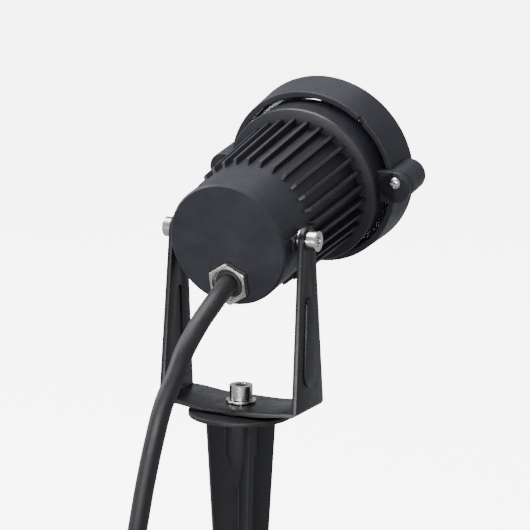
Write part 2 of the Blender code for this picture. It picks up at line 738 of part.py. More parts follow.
def add_fins(shape, rear_ring, front_ring, flange_ring):
    """Fins between two rings, and the rear face of the flange that they run into."""
    rear_crest = crest_points(shape, BARREL_RADIUS + FIN_REAR_HEIGHT, FIN_START + FIN_RAMP)
    front_radius = BARREL_RADIUS + BARREL_FLARE + FIN_FRONT_HEIGHT
    front_crest = crest_points(shape, front_radius, FIN_END)
    count = len(rear_ring)
    for fin in range(FIN_COUNT):
        left, right, middle = 3 * fin, 3 * fin + 1, 3 * fin + 2
        following = (3 * fin + 3) % count
        next_crest = front_crest[(fin + 1) % FIN_COUNT]
        rear_left, rear_right = rear_crest[fin]
        front_left, front_right = front_crest[fin]
        shape.faces.new((rear_ring[left], rear_ring[right], rear_right, rear_left))
        shape.faces.new((rear_ring[left], front_ring[left], front_left, rear_left))
        shape.faces.new((rear_ring[right], front_ring[right], front_right, rear_right))
        shape.faces.new((rear_left, rear_right, front_right, front_left))
        shape.faces.new((rear_ring[right], rear_ring[middle], front_ring[middle], front_ring[right]))
        shape.faces.new(
            (rear_ring[middle], rear_ring[following], front_ring[following], front_ring[middle])
        )
        shape.faces.new((front_left, front_right, flange_ring[right], flange_ring[left]))
        shape.faces.new((
            front_ring[right], front_ring[middle], front_ring[following], next_crest[0],
            flange_ring[following], flange_ring[middle], flange_ring[right], front_right,
        ))


def housing_shell():
    """The cast cup: fins, flange and spigot outside, and the stepped cavity inside."""
    shape = bmesh.new()
    rear_pole = [shape.verts.new((0, 0, 0))]
    outer = [
        fin_ring(shape, BARREL_RADIUS - REAR_EDGE, 0),
        fin_ring(shape, BARREL_RADIUS, REAR_EDGE),
        fin_ring(shape, BARREL_RADIUS, FIN_START),
    ]
    flange_start = BARREL_RADIUS + BARREL_FLARE + FIN_FRONT_HEIGHT + GAP
    front = [
        (BARREL_RADIUS + BARREL_FLARE, FIN_END),
        (flange_start, FIN_END),
        (FLANGE_RADIUS, FLANGE_EDGE),
        (FLANGE_RADIUS + FLANGE_LIP, FLANGE_EDGE + FLANGE_LIP),
        (SPIGOT_RADIUS, FLANGE_EDGE + 10 * FLANGE_LIP),
        (SPIGOT_RADIUS, SPIGOT_END),
    ]
    rings = [fin_ring(shape, radius, height) for radius, height in front]
    join_rings(shape, rear_pole, outer[0])
    join_rings(shape, outer[0], outer[1])
    join_rings(shape, outer[1], outer[2])
    add_fins(shape, outer[2], rings[0], rings[1])
    for lower, upper in zip(rings[1:], rings[2:]):
        join_rings(shape, lower, upper)
    join_rings(shape, rings[-1], [shape.verts.new((0, 0, SPIGOT_END))])
    housing = place_mesh("rear_housing", shape)
    cavity = turned("cavity", [
        (0, REAR_WALL),
        (CAVITY_RADIUS, REAR_WALL),
        (CAVITY_RADIUS, SEAT_DEPTH),
        (SEAT_RADIUS, SEAT_DEPTH),
        (SEAT_RADIUS, MOUTH_START),
        (MOUTH_RADIUS, MOUTH_END),
        (MOUTH_RADIUS, SPIGOT_END + GAP),
        (0, SPIGOT_END + GAP),
    ], 40)
    return cut(housing, cavity)


def add_ears(housing):
    """Screw ears beside the flange, behind the hood's lugs."""
    for angle in LUG_ANGLES:
        x, y = on_circle(LUG_CIRCLE, angle)
        add(housing, shift(rod("ear", LUG_RADIUS, EAR_REAR, EAR_FRONT, 32), x, y))
        web = box(
            "web", (SPIGOT_RADIUS - BARREL_WALL / 2, -LUG_RADIUS, EAR_REAR),
            (LUG_CIRCLE, LUG_RADIUS, EAR_FRONT),
        )
        add(housing, move(web, Matrix.Rotation(angle, 4, "Z")))
    for angle in LUG_SCREW_ANGLES:
        x, y = on_circle(LUG_SCREW_CIRCLE, angle)
        hole_radius = LUG_SCREW_SHANK + SCREW_GAP
        cut(housing, shift(rod("hole", hole_radius, EAR_REAR - GAP, EAR_FRONT + GAP, 16), x, y))


def add_pivot_bosses(housing):
    for side in (-1, 1):
        boss_end = CAVITY_RADIUS + BARREL_WALL / 2
        boss = rod("boss", PIVOT_BOSS_RADIUS, CAVITY_RADIUS - PIVOT_BOSS_DEPTH, boss_end, 32)
        add(housing, shift(lay_along_x(boss, side), z=PIVOT_FROM_REAR))
        low_x, high_x = sorted((side * boss_end, side * BOSS_FACE))
        half_width, half_length = PIVOT_PAD_WIDTH / 2, PIVOT_PAD_LENGTH / 2
        pad = box("pad", (low_x, -half_width, -half_length), (high_x, half_width, half_length))
        add(housing, shift(pad, z=PIVOT_FROM_REAR))
        bottom = PIVOT_HEAD_INNER - PIVOT_BOLT_LENGTH - 4 * GAP
        hole = rod("hole", PIVOT_SHANK + SCREW_GAP, bottom, BOSS_FACE + GAP, 24)
        cut(housing, shift(lay_along_x(hole, side), z=PIVOT_FROM_REAR))


def add_board_rails(housing):
    for side in (-1, 1):
        inner = BOARD_HALF_WIDTH - RAIL_REACH
        outer = CAVITY_RADIUS + BARREL_WALL / 3
        low_x, high_x = sorted((side * inner, side * outer))
        low = (low_x, RAIL_TOP - RAIL_THICKNESS, REAR_WALL - GAP)
        add(housing, box("rail", low, (high_x, RAIL_TOP, BOARD_END)))
        hole = rod(
            "hole", BOARD_SCREW_SHANK + SCREW_GAP, RAIL_TOP - RAIL_THICKNESS - GAP, RAIL_TOP + GAP, 16
        )
        move(hole, Matrix.Rotation(-math.pi / 2, 4, "X"))
        cut(housing, shift(hole, x=side * BOARD_SCREW_X, z=BOARD_SCREW_STATION))


def add_pillars(housing):
    for angle in PLATE_SCREW_ANGLES:
        x, y = on_circle(PLATE_SCREW_CIRCLE, angle)
        foot = SEAT_DEPTH - PILLAR_LENGTH
        add(housing, shift(rod("pillar", PILLAR_RADIUS, foot, SEAT_DEPTH, 24), x, y))
        depth = HEAT_PLATE_FRONT + GAP - PLATE_SCREW_LENGTH - 2 * GAP
        hole = rod("hole", PLATE_SCREW_SHANK + SCREW_GAP, depth, SEAT_DEPTH + GAP, 16)
        cut(housing, shift(hole, x, y))


def make_housing(finish, head):
    housing = housing_shell()
    add_ears(housing)
    add_pivot_bosses(housing)
    add_board_rails(housing)
    add_pillars(housing)
    gland_hole = rod("hole", GLAND_THREAD + GAP, -GAP * 4, REAR_WALL + GAP * 2, 40)
    cut(housing, shift(gland_hole, y=-GLAND_DROP))
    housing.data.shade_smooth()
    housing.data.set_sharp_from_angle(angle=math.radians(30))
    return give_finish(housing, finish["cast_body"], head)


# ---------------------------------------------------------------- hood
def make_hood(finish, head):
    edge = HOOD_WALL / 2
    recess = HOOD_FRONT_RADIUS - HOOD_WALL
    hood = turned("front_hood", [
        (HOOD_BORE, HOOD_REAR),
        (HOOD_REAR_RADIUS - edge / 2, HOOD_REAR),
        (HOOD_REAR_RADIUS, HOOD_REAR + edge / 2),
        (HOOD_FRONT_RADIUS, HOOD_FRONT - edge),
        (HOOD_FRONT_RADIUS - edge, HOOD_FRONT),
        (recess, HOOD_FRONT),
        (recess, LEDGE_FRONT),
        (HOOD_BORE - HOOD_LEDGE, LEDGE_FRONT),
        (HOOD_BORE - HOOD_LEDGE, LEDGE_REAR),
        (HOOD_BORE, LEDGE_REAR),
    ], 60, closed=True)
    lug_end = HOOD_REAR + LUG_LENGTH
    for angle in LUG_ANGLES:
        x, y = on_circle(LUG_CIRCLE, angle)
        lug = turned("lug", [
            (0, HOOD_REAR),
            (LUG_RADIUS, HOOD_REAR),
            (LUG_RADIUS, lug_end - LUG_RADIUS * 0.45),
            (LUG_RADIUS * 0.85, lug_end - LUG_RADIUS * 0.15),
            (LUG_RADIUS * 0.5, lug_end),
            (0, lug_end),
        ], 32)
        add(hood, shift(lug, x, y))
    cut(hood, rod("bore", HOOD_BORE, HOOD_REAR - GAP, LEDGE_REAR, 60))
    cut(hood, rod("recess", recess, LEDGE_FRONT, HOOD_FRONT + GAP, 60))
    for angle in LUG_SCREW_ANGLES:
        x, y = on_circle(LUG_SCREW_CIRCLE, angle)
        depth = EAR_REAR - GAP + LUG_SCREW_LENGTH + 2 * GAP
        hole = rod("hole", LUG_SCREW_SHANK + SCREW_GAP, HOOD_REAR - GAP, depth, 16)
        cut(hood, shift(hole, x, y))
    notch = box(
        "notch", (HOOD_BORE - GAP, -NOTCH_WIDTH / 2, HOOD_REAR - GAP),
        (HOOD_REAR_RADIUS + GAP, NOTCH_WIDTH / 2, HOOD_REAR + NOTCH_DEPTH),
    )
    cut(hood, move(notch, Matrix.Rotation(NOTCH_ANGLE, 4, "Z")))
    hood.data.shade_smooth()
    hood.data.set_sharp_from_angle(angle=math.radians(35))
    give_finish(hood, finish["cast_body"], head)
    for index, angle in enumerate(LUG_SCREW_ANGLES, 1):
        x, y = on_circle(LUG_SCREW_CIRCLE, angle)
        screw = flat_screw(
            f"hood_screw_{index}", LUG_SCREW_HEAD, LUG_SCREW_HEAD_HEIGHT,
            LUG_SCREW_SHANK, LUG_SCREW_LENGTH,
        )
        move(screw, Matrix.Rotation(math.pi, 4, "X"))
        give_finish(shift(screw, x, y, EAR_REAR - GAP), finish["bright_steel"], head)


# ---------------------------------------------------------------- optics and light source
def make_glass_and_gasket(finish, head):
    radius = HOOD_BORE - GLASS_CLEARANCE
    edge = GLASS_THICKNESS / 8
    glass = turned("front_glass", [
        (0, GLASS_REAR),
        (radius - edge, GLASS_REAR),
        (radius, GLASS_REAR + edge),
        (radius, GLASS_FRONT - edge),
        (radius - edge, GLASS_FRONT),
        (0, GLASS_FRONT),
    ], 48)
    give_finish(glass, finish["clear_glass"], head)
    gasket = tube_ring(
        "glass_gasket", MOUTH_RADIUS + GAP, SPIGOT_RADIUS - GAP,
        GASKET_REAR, GASKET_REAR + GASKET_THICKNESS, 40,
    )
    give_finish(gasket, finish["seal_rubber"], head)


def make_reflector(finish, head):
    depth = SPIGOT_END - REFLECTOR_REAR
    mouth = MOUTH_RADIUS - REFLECTOR_WALL - 2 * GAP
    steps = 6
    inside = []
    for step in range(steps + 1):
        share = (step / steps) ** 2
        radius = REFLECTOR_THROAT + (mouth - REFLECTOR_THROAT) * math.sqrt(share)
        inside.append((radius, REFLECTOR_REAR + depth * share))
    outside = [(radius + REFLECTOR_WALL, height) for radius, height in inside]
    profile = outside + list(reversed(inside))
    reflector = turned("reflector", profile, 40, closed=True)
    give_finish(reflector, finish["mirror_bowl"], head)


def make_light_source(finish, head):
    plate = rod("heat_plate", SEAT_RADIUS - GAP, HEAT_PLATE_REAR, HEAT_PLATE_FRONT, 40)
    through = (HEAT_PLATE_REAR - GAP, HEAT_PLATE_FRONT + GAP)
    for angle in PLATE_SCREW_ANGLES:
        x, y = on_circle(PLATE_SCREW_CIRCLE, angle)
        cut(plate, shift(rod("hole", PLATE_SCREW_SHANK + SCREW_GAP, *through, 16), x, y))
    for side in (-1, 1):
        hole = rod("hole", HOLDER_SCREW_SHANK + SCREW_GAP, *through, 16)
        cut(plate, shift(hole, x=side * HOLDER_SCREW_CIRCLE))
    x, y = on_circle(LEAD_HOLE_CIRCLE, LEAD_HOLE_ANGLE)
    cut(plate, shift(rod("hole", LEAD_HOLE_RADIUS, *through, 20), x, y))
    give_finish(plate, finish["bare_aluminium"], head)
    pad = rod("thermal_pad", LED_BOARD_RADIUS, PAD_REAR, PAD_REAR + PAD_THICKNESS, 32)
    give_finish(pad, finish["led_white"], head)
    board = rod("led_board", LED_BOARD_RADIUS, LED_BOARD_REAR, LED_BOARD_FRONT, 32)
    give_finish(board, finish["led_white"], head)
    emitter_front = EMITTER_REAR + LED_EMITTER_THICKNESS
    emitter = rod("led_emitter", LED_EMITTER_RADIUS, EMITTER_REAR, emitter_front, 32)
    give_finish(emitter, finish["led_phosphor"], head)
    for index, angle in enumerate(PLATE_SCREW_ANGLES, 1):
        x, y = on_circle(PLATE_SCREW_CIRCLE, angle)
        screw = flat_screw(
            f"plate_screw_{index}", PLATE_SCREW_HEAD, PLATE_SCREW_HEAD_HEIGHT,
            PLATE_SCREW_SHANK, PLATE_SCREW_LENGTH,
        )
        give_finish(shift(screw, x, y, HEAT_PLATE_FRONT + GAP), finish["bright_steel"], head)


def make_led_holder(finish, head):
    seat = LED_BOARD_RADIUS + GAP
    holder = turned("led_holder", [
        (seat, PAD_REAR),
        (HOLDER_RADIUS, PAD_REAR),
        (HOLDER_RADIUS, HOLDER_FRONT),
        (HOLDER_OPENING, HOLDER_FRONT),
        (HOLDER_OPENING, HOLDER_INSIDE),
        (seat, HOLDER_INSIDE),
    ], 28, closed=True)
    head_bottom = HOLDER_FRONT - HOLDER_SCREW_HEAD_HEIGHT - GAP
    for index, side in enumerate((-1, 1), 1):
        x = side * HOLDER_SCREW_CIRCLE
        bore = rod("bore", HOLDER_SCREW_HEAD + GAP, head_bottom - GAP, HOLDER_FRONT + GAP, 20)
        cut(holder, shift(bore, x=x))
        shank_hole = rod("hole", HOLDER_SCREW_SHANK + SCREW_GAP, PAD_REAR - GAP, HOLDER_FRONT, 16)
        cut(holder, shift(shank_hole, x=x))
        length = head_bottom - HEAT_PLATE_REAR
        screw = flat_screw(
            f"holder_screw_{index}", HOLDER_SCREW_HEAD, HOLDER_SCREW_HEAD_HEIGHT,
            HOLDER_SCREW_SHANK, length,
        )
        give_finish(shift(screw, x=x, z=head_bottom), finish["bright_steel"], head)
    give_finish(holder, finish["led_white"], head)


# ---------------------------------------------------------------- driver
def upright_can(name, radius, height, x, station):
    """A round component that stands on the board."""
    can = rod(name, radius, 0, height, 24)
    move(can, Matrix.Rotation(-math.pi / 2, 4, "X"))
    return shift(can, x, BOARD_TOP + GAP, station)


def block_part(name, size, x, station):
    """A square component on the board: width, height and length along the lamp."""
    width, height, length = size
    low = (x - width / 2, BOARD_TOP + GAP, station - length / 2)
    return box(name, low, (x + width / 2, low[1] + height, station + length / 2))


def make_driver(finish, head):
    low = (-BOARD_HALF_WIDTH, BOARD_UNDERSIDE, BOARD_START)
    board = box("driver_board", low, (BOARD_HALF_WIDTH, BOARD_TOP, BOARD_END))
    for index, side in enumerate((-1, 1), 1):
        hole = rod(
            "hole", BOARD_SCREW_SHANK + SCREW_GAP, BOARD_UNDERSIDE - GAP, BOARD_TOP + GAP, 16
        )
        move(hole, Matrix.Rotation(-math.pi / 2, 4, "X"))
        cut(board, shift(hole, x=side * BOARD_SCREW_X, z=BOARD_SCREW_STATION))
        screw = flat_screw(
            f"board_screw_{index}", BOARD_SCREW_HEAD, BOARD_SCREW_HEAD_HEIGHT,
            BOARD_SCREW_SHANK, BOARD_THICKNESS + RAIL_THICKNESS,
        )
        move(screw, Matrix.Rotation(-math.pi / 2, 4, "X"))
        shift(screw, side * BOARD_SCREW_X, BOARD_TOP + GAP, BOARD_SCREW_STATION)
        give_finish(screw, finish["bright_steel"], head)
    give_finish(board, finish["board_green"], head)
    middle = BOARD_START + BOARD_LENGTH / 2
    transformer = block_part("transformer", (0.014, 0.012, 0.013), -0.0055, middle + 0.003)
    give_finish(transformer, finish["part_yellow"], head)
    capacitor = upright_can("filter_capacitor", 0.004, 0.013, 0.0085, middle + 0.004)
    give_finish(capacitor, finish["part_black"], head)
    choke = upright_can("input_choke", 0.0035, 0.008, 0.0085, middle - 0.007)
    give_finish(choke, finish["part_black"], head)
    film = block_part("film_capacitor", (0.005, 0.010, 0.009), -0.0085, middle - 0.011)
    give_finish(film, finish["part_yellow"], head)
    chip = block_part("driver_chip", (0.006, 0.002, 0.006), 0.0005, middle - 0.012)
    give_finish(chip, finish["part_black"], head)
    top = BOARD_UNDERSIDE - GAP
    terminal = box("terminal_block", (-0.0070, top - 0.0080, 0.0240), (0.0070, top, 0.0320))
    give_finish(terminal, finish["led_white"], head)


def make_inner_wires(finish, head):
    """Three mains wires to the terminal block and two leads to the light source."""
    cord_end = CORD_INSIDE + GAP
    entry_y = BOARD_UNDERSIDE - GAP - 0.0045
    cores = (("live", -1, "wire_brown"), ("neutral", 0, "wire_blue"), ("earth", 1, "wire_green"))
    for label, place, slot in cores:
        start_x = place * 0.0022
        end_x = place * 0.0042
        route = (
            (start_x, -GLAND_DROP, cord_end),
            (start_x, -GLAND_DROP, cord_end + 0.0025),
            ((start_x + end_x) / 2, (entry_y - GLAND_DROP) / 2, 0.0165),
            (end_x, entry_y, 0.0215),
            (end_x, entry_y, 0.0240 - GAP),
        )
        cable(f"wire_{label}", route, WIRE_RADIUS, finish[slot], head, 0.002, 1)
    for label, turn, slot in (("plus", -1, "wire_red"), ("minus", 1, "part_black")):
        angle = LEAD_HOLE_ANGLE + turn * 0.0012 / LEAD_HOLE_CIRCLE
        side_x, side_y = on_circle(LEAD_HOLE_CIRCLE, angle)
        end_x, end_y = on_circle(HOLDER_RADIUS + 3 * GAP, angle)
        route = (
            (-0.0105 - turn * 0.0012, BOARD_TOP + GAP + LEAD_RADIUS, BOARD_END + GAP),
            (-0.0125 - turn * 0.0010, BOARD_TOP + 0.0030, BOARD_END + 0.0040),
            (side_x, side_y, HEAT_PLATE_REAR - 0.0040),
            (side_x, side_y, HEAT_PLATE_FRONT),
            (side_x, side_y, HEAT_PLATE_FRONT + 0.0012),
            (end_x, end_y, HEAT_PLATE_FRONT + 0.0026),
        )
        cable(f"led_lead_{label}", route, LEAD_RADIUS, finish[slot], head, 0.002, 1)


# ---------------------------------------------------------------- gland and pivot hardware
def make_gland(finish, head):
    outline = hexagon(GLAND_FLATS, GLAND_CORNER)
    gland = prism("gland_nut", outline, GLAND_NUT_REAR, -GAP, smooth=False)
    add(gland, rod("thread", GLAND_THREAD, -2 * GAP, REAR_WALL, 40))
    cut(gland, rod("bore", GLAND_BORE, GLAND_NUT_REAR - GAP, REAR_WALL + GAP, 40))
    recess_end = GLAND_NUT_REAR + GLAND_RECESS_DEPTH
    cut(gland, rod("recess", GLAND_RECESS_RADIUS, GLAND_NUT_REAR - GAP, recess_end, 40))
    gland.data.shade_smooth()
    gland.data.set_sharp_from_angle(angle=math.radians(30))
    give_finish(shift(gland, y=-GLAND_DROP), finish["gland_nickel"], head)
    seal_rear = GLAND_NUT_REAR + SEAL_RECESS
    seal = tube_ring("gland_seal", SEAL_BORE, SEAL_RADIUS, seal_rear, REAR_WALL, 32)
    give_finish(shift(seal, y=-GLAND_DROP), finish["seal_rubber"], head)


def make_pivot_hardware(finish, head):
    for label, side in (("left", 1), ("right", -1)):
        bolt = cap_screw(
            f"pivot_bolt_{label}", PIVOT_HEAD_RADIUS, PIVOT_HEAD_HEIGHT,
            PIVOT_SHANK, PIVOT_BOLT_LENGTH, 0.0040,
        )
        shift(bolt, z=PIVOT_HEAD_INNER)
        shift(lay_along_x(bolt, side), z=PIVOT_FROM_REAR)
        give_finish(bolt, finish["bright_steel"], head)
        washer = tube_ring(
            f"pivot_washer_{label}", PIVOT_SHANK + SCREW_GAP, PIVOT_WASHER_RADIUS,
            PIVOT_WASHER_INNER, PIVOT_WASHER_INNER + PIVOT_WASHER_THICKNESS, 24,
        )
        shift(lay_along_x(washer, side), z=PIVOT_FROM_REAR)
        give_finish(washer, finish["bright_steel"], head)


# ---------------------------------------------------------------- cord, coil and plug
def lamp_to_world(y, station):
    """World place of a point on the lamp's middle plane."""
    ahead = station - PIVOT_FROM_REAR
    return Vector((
        0,
        -ahead * math.cos(TILT) + y * math.sin(TILT),
        PIVOT_HEIGHT + ahead * math.sin(TILT) + y * math.cos(TILT),
    ))


def hanging_route():
    """CORD_ROUTE, with the part below the collar stretched to the depth of the landing."""
    stretch = -LANDING_START.z / ROUTE_DROP
    return [Vector((x, y, z * stretch if z < 0 else z)) for x, y, z in CORD_ROUTE]


def landing_route():
    """The bend that takes the hanging cord down towards the coil's top turn."""
    heading = Vector((math.cos(LANDING_HEADING), math.sin(LANDING_HEADING), 0))
    points = []
    for step in range(4):
        turn = LANDING_TURN * step / 3
        along = heading * LANDING_BEND * (1 - math.cos(turn))
        points.append(LANDING_START + along - Vector((0, 0, LANDING_BEND * math.sin(turn))))
    return points


def tail_route():
    """From the coil's lowest outer turn, round on the ground and up into the plug."""
    floor_level = GROUND_LEVEL + CORD_RADIUS + GAP / 3
    coil_level = COIL_BOTTOM + CORD_RADIUS
    steps = 8
    points = []
    for step in range(steps + 1):
        angle = TAIL_FROM + (TAIL_TO - TAIL_FROM) * step / steps
        around = Vector((math.cos(angle), math.sin(angle), 0)) * TAIL_BEND
        drop = max(0.0, 1 - step / 3)
        level = Vector((0, 0, floor_level + (coil_level - floor_level) * drop**2))
        points.append(TAIL_CENTRE + around + level)
    heading = Vector((math.cos(PLUG_HEADING), math.sin(PLUG_HEADING), 0))
    arc_end = points[-1]
    for before_plug in (2 * TAIL_SIT, TAIL_SIT, TAIL_SIT / 2, TAIL_SIT / 4, GAP):
        along = TAIL_STRAIGHT - before_plug
        climb = max(0.0, TAIL_SIT - before_plug)
        rise = Vector((0, 0, climb**2 * math.tan(PLUG_RISE) / (2 * TAIL_SIT)))
        points.append(arc_end + heading * along + rise)
    return points


def make_cord(finish):
    inner_end = lamp_to_world(-GLAND_DROP, CORD_INSIDE)
    rear_face = lamp_to_world(-GLAND_DROP, 0)
    nut_face = lamp_to_world(-GLAND_DROP, GLAND_NUT_REAR)
    route = (inner_end, rear_face, nut_face, *hanging_route(), *landing_route())
    cable("power_cord", route, CORD_RADIUS, finish["cord_rubber"])
    cable("cord_tail", tail_route(), CORD_RADIUS, finish["cord_rubber"])
    coil = tube_ring("cord_coil", RING_INSIDE, RING_OUTSIDE, COIL_BOTTOM, COIL_TOP, 48)
    give_finish(coil, finish["cord_rubber"])


def make_coil_tie(finish):
    """A flat strap closed round the coil's section."""
    inner = (RING_INSIDE - GAP, COIL_BOTTOM - GAP, RING_OUTSIDE + GAP, COIL_TOP + GAP)
    outer = (
        inner[0] - TIE_THICKNESS, inner[1] - TIE_THICKNESS,
        inner[2] + TIE_THICKNESS, inner[3] + TIE_THICKNESS,
    )
    half = TIE_WIDTH / 2
    sag = half * half / (2 * RING_INSIDE)
    strap = box("coil_tie", (outer[0] - sag, -half, outer[1]), (outer[2], half, outer[3]))
    hollow = box(
        "hollow", (inner[0] - sag, -half - GAP, inner[1]), (inner[2], half + GAP, inner[3])
    )
    cut(strap, hollow)
    move(strap, Matrix.Rotation(TIE_ANGLE, 4, "Z"))
    give_finish(strap, finish["seal_rubber"])


def make_plug(finish):
    """Moulded two-pin plug with side earth clips, lying on its flange and its boot."""
    heading = Matrix.Rotation(PLUG_HEADING, 4, "Z") @ Matrix.Rotation(-PLUG_RISE, 4, "Y")
    along_z = Matrix.Rotation(math.pi / 2, 4, "Y")
    start = tail_route()[-1] + heading @ Vector((2 * GAP, 0, 0))
    place = Matrix.Translation(start) @ heading @ along_z
    body_end = 0.0400
    body = turned("plug_body", [
        (0, 0),
        (0.0070, 0),
        (0.0078, 0.0060),
        (0.0082, 0.0140),
        (0.0125, 0.0180),
        (0.0135, 0.0320),
        (PLUG_RADIUS, 0.0345),
        (PLUG_RADIUS, body_end),
        (0, body_end),
    ], 40)
    for side in (-1, 1):
        low_x, high_x = sorted((side * 0.0152, side * (PLUG_RADIUS + 0.001)))
        cut(body, box("groove", (low_x, -0.0035, 0.0250), (high_x, 0.0035, body_end + GAP)))
    give_finish(move(body, place), finish["plug_rubber"])
    for index, side in enumerate((-1, 1), 1):
        pin = turned(f"plug_pin_{index}", [
            (0, 0),
            (PIN_RADIUS, 0),
            (PIN_RADIUS, PIN_LENGTH - PIN_RADIUS / 2),
            (PIN_RADIUS / 2, PIN_LENGTH),
            (0, PIN_LENGTH),
        ], 20)
        shift(pin, y=side * PIN_SPACING / 2, z=body_end + GAP)
        give_finish(move(pin, place), finish["pin_metal"])
        low_x, high_x = sorted((side * (0.0152 + GAP), side * 0.0164))
        clip = box(f"plug_clip_{index}", (low_x, -0.0025, 0.0345 + GAP), (high_x, 0.0025, body_end))
        give_finish(move(clip, place), finish["pin_metal"])


# ---------------------------------------------------------------- the whole lamp
def make_head_frame():
    """Two empties: one on the tilt axis, and one at the lamp's rear face, +Z to the front."""
    pivot = bpy.data.objects.new("head_pivot", None)
    pivot.location = (0, 0, PIVOT_HEIGHT)
    pivot.rotation_euler = (math.pi / 2 - TILT, 0, 0)
    bpy.context.scene.collection.objects.link(pivot)
    rear = bpy.data.objects.new("head_rear", None)
    rear.location = (0, 0, -PIVOT_FROM_REAR)
    rear.parent = pivot
    bpy.context.scene.collection.objects.link(rear)
    return rear


def main():
    clear_scene()
    finish = make_finishes()
    head = make_head_frame()
    make_stake(finish)
    make_base_hardware(finish)
    make_yoke(finish)
    make_housing(finish, head)
    make_hood(finish, head)
    make_glass_and_gasket(finish, head)
    make_reflector(finish, head)
    make_light_source(finish, head)
    make_led_holder(finish, head)
    make_driver(finish, head)
    make_inner_wires(finish, head)
    make_gland(finish, head)
    make_pivot_hardware(finish, head)
    make_cord(finish)
    make_coil_tie(finish)
    make_plug(finish)
    bpy.context.view_layer.update()


main()
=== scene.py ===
"""The looks of a garden light projector on a ground stake."""
import json
import math

import bpy
from mathutils import Matrix, Vector


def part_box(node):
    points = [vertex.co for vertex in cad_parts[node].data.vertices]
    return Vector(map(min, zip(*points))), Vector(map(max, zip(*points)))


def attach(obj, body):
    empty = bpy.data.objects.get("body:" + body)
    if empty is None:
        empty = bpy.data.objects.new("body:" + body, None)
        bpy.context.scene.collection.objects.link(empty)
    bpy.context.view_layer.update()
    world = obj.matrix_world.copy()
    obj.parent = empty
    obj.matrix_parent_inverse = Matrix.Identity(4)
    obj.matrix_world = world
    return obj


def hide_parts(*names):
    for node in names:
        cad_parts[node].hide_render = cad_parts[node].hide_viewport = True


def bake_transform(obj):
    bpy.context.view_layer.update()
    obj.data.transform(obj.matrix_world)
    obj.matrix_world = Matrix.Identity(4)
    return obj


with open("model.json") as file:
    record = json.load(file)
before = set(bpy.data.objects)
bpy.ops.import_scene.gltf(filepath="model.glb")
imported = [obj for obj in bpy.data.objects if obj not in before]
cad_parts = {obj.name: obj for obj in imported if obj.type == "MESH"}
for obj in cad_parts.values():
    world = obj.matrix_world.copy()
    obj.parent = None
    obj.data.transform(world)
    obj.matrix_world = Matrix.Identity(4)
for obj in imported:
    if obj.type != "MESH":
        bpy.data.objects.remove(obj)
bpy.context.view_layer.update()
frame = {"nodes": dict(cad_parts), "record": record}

# ---------------------------------------------------------------- places, in metres
TILT = math.radians(12)
PIVOT_HEIGHT = 0.0780
PIVOT_FROM_REAR = 0.0133
GROUND_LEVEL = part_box("ground_stake")[0][2]
LAMP = (
    Matrix.Translation((0, 0, PIVOT_HEIGHT))
    @ Matrix.Rotation(math.pi / 2 - TILT, 4, "X")
    @ Matrix.Translation((0, 0, -PIVOT_FROM_REAR))
)

# Lamp head: radii, and distances from its rear face along its axis.
BARREL_RADIUS = 0.0268
BARREL_FRONT_RADIUS = 0.0282
CAVITY_RADIUS = 0.0228
SEAT_RADIUS = 0.0248
SEAT_DEPTH = 0.0557
REAR_WALL = 0.0050
FIN_COUNT = 30
FIN_THICKNESS = 0.0016
FIN_START = 0.0232
FIN_END = 0.0700
FIN_RAMP = 0.0018
FIN_REAR_TOP = 0.0294
FIN_FRONT_TOP = 0.0316
FLANGE_RADIUS = 0.0352
FLANGE_EDGE = 0.0706
SPIGOT_RADIUS = 0.0350
SPIGOT_END = 0.0860
MOUTH_RADIUS = 0.0315
HOOD_REAR = 0.0815
HOOD_FRONT = 0.1007
HOOD_BORE = 0.0372
HOOD_REAR_RADIUS = 0.0399
HOOD_FRONT_RADIUS = 0.0412
HOOD_WALL = 0.0027
LEDGE_REAR = 0.0919
LEDGE_FRONT = 0.0934
LEDGE_RADIUS = 0.0335
GLASS_REAR = 0.0876
GLASS_FRONT = 0.0916
GLASS_RADIUS = 0.0365
LUG_ANGLES = (math.radians(180), math.radians(3))
LUG_CIRCLE = 0.0416
LUG_RADIUS = 0.0072
LUG_END = 0.0987
LUG_SCREW_ANGLES = (math.radians(176.5), math.radians(3.5))
LUG_SCREW_CIRCLE = 0.0428
EAR_REAR = 0.0776
EAR_FRONT = 0.0812
WEB_LENGTH = 0.0090
WEB_MIDDLE = 0.0375
NOTCH_ANGLE = math.radians(133)
NOTCH_SIZE = (0.0060, 0.0030, 0.0024)
CROSS_SLOT = (0.0028, 0.0007, 0.0020)
PIVOT_PAD = (0.0038, 0.0064, 0.0140)
PIVOT_PAD_PLACE = 0.02585           # the pad's middle, out from the lamp's axis
PIVOT_WASHER = (0.0028, 0.0050, 0.02805, 0.02905)
PIVOT_HEAD_REAR = 0.03165
BASE_WASHER = (0.0033, 0.0065, 0.0056, 0.0066)
BASE_HEAD_BOTTOM = 0.0069
REFLECTOR_REAR = 0.0642
REFLECTOR_NECK = 0.0090
REFLECTOR_MOUTH = 0.0297
REFLECTOR_WALL = 0.0012
FIN_ROOT = 0.0006                   # each fin starts this far inside the barrel

# Gland, in the lamp's frame, and the cord.
GLAND_DROP = 0.0165
GLAND_FLATS = 0.0162
GLAND_CORNER = math.radians(88)
GLAND_NUT_REAR = -0.0033
GLAND_BORE = 0.0063
GLAND_THREAD = 0.00715
GLAND_RECESS = 0.0070
CORD_RADIUS = 0.0041
CORD_INSIDE = 0.0090

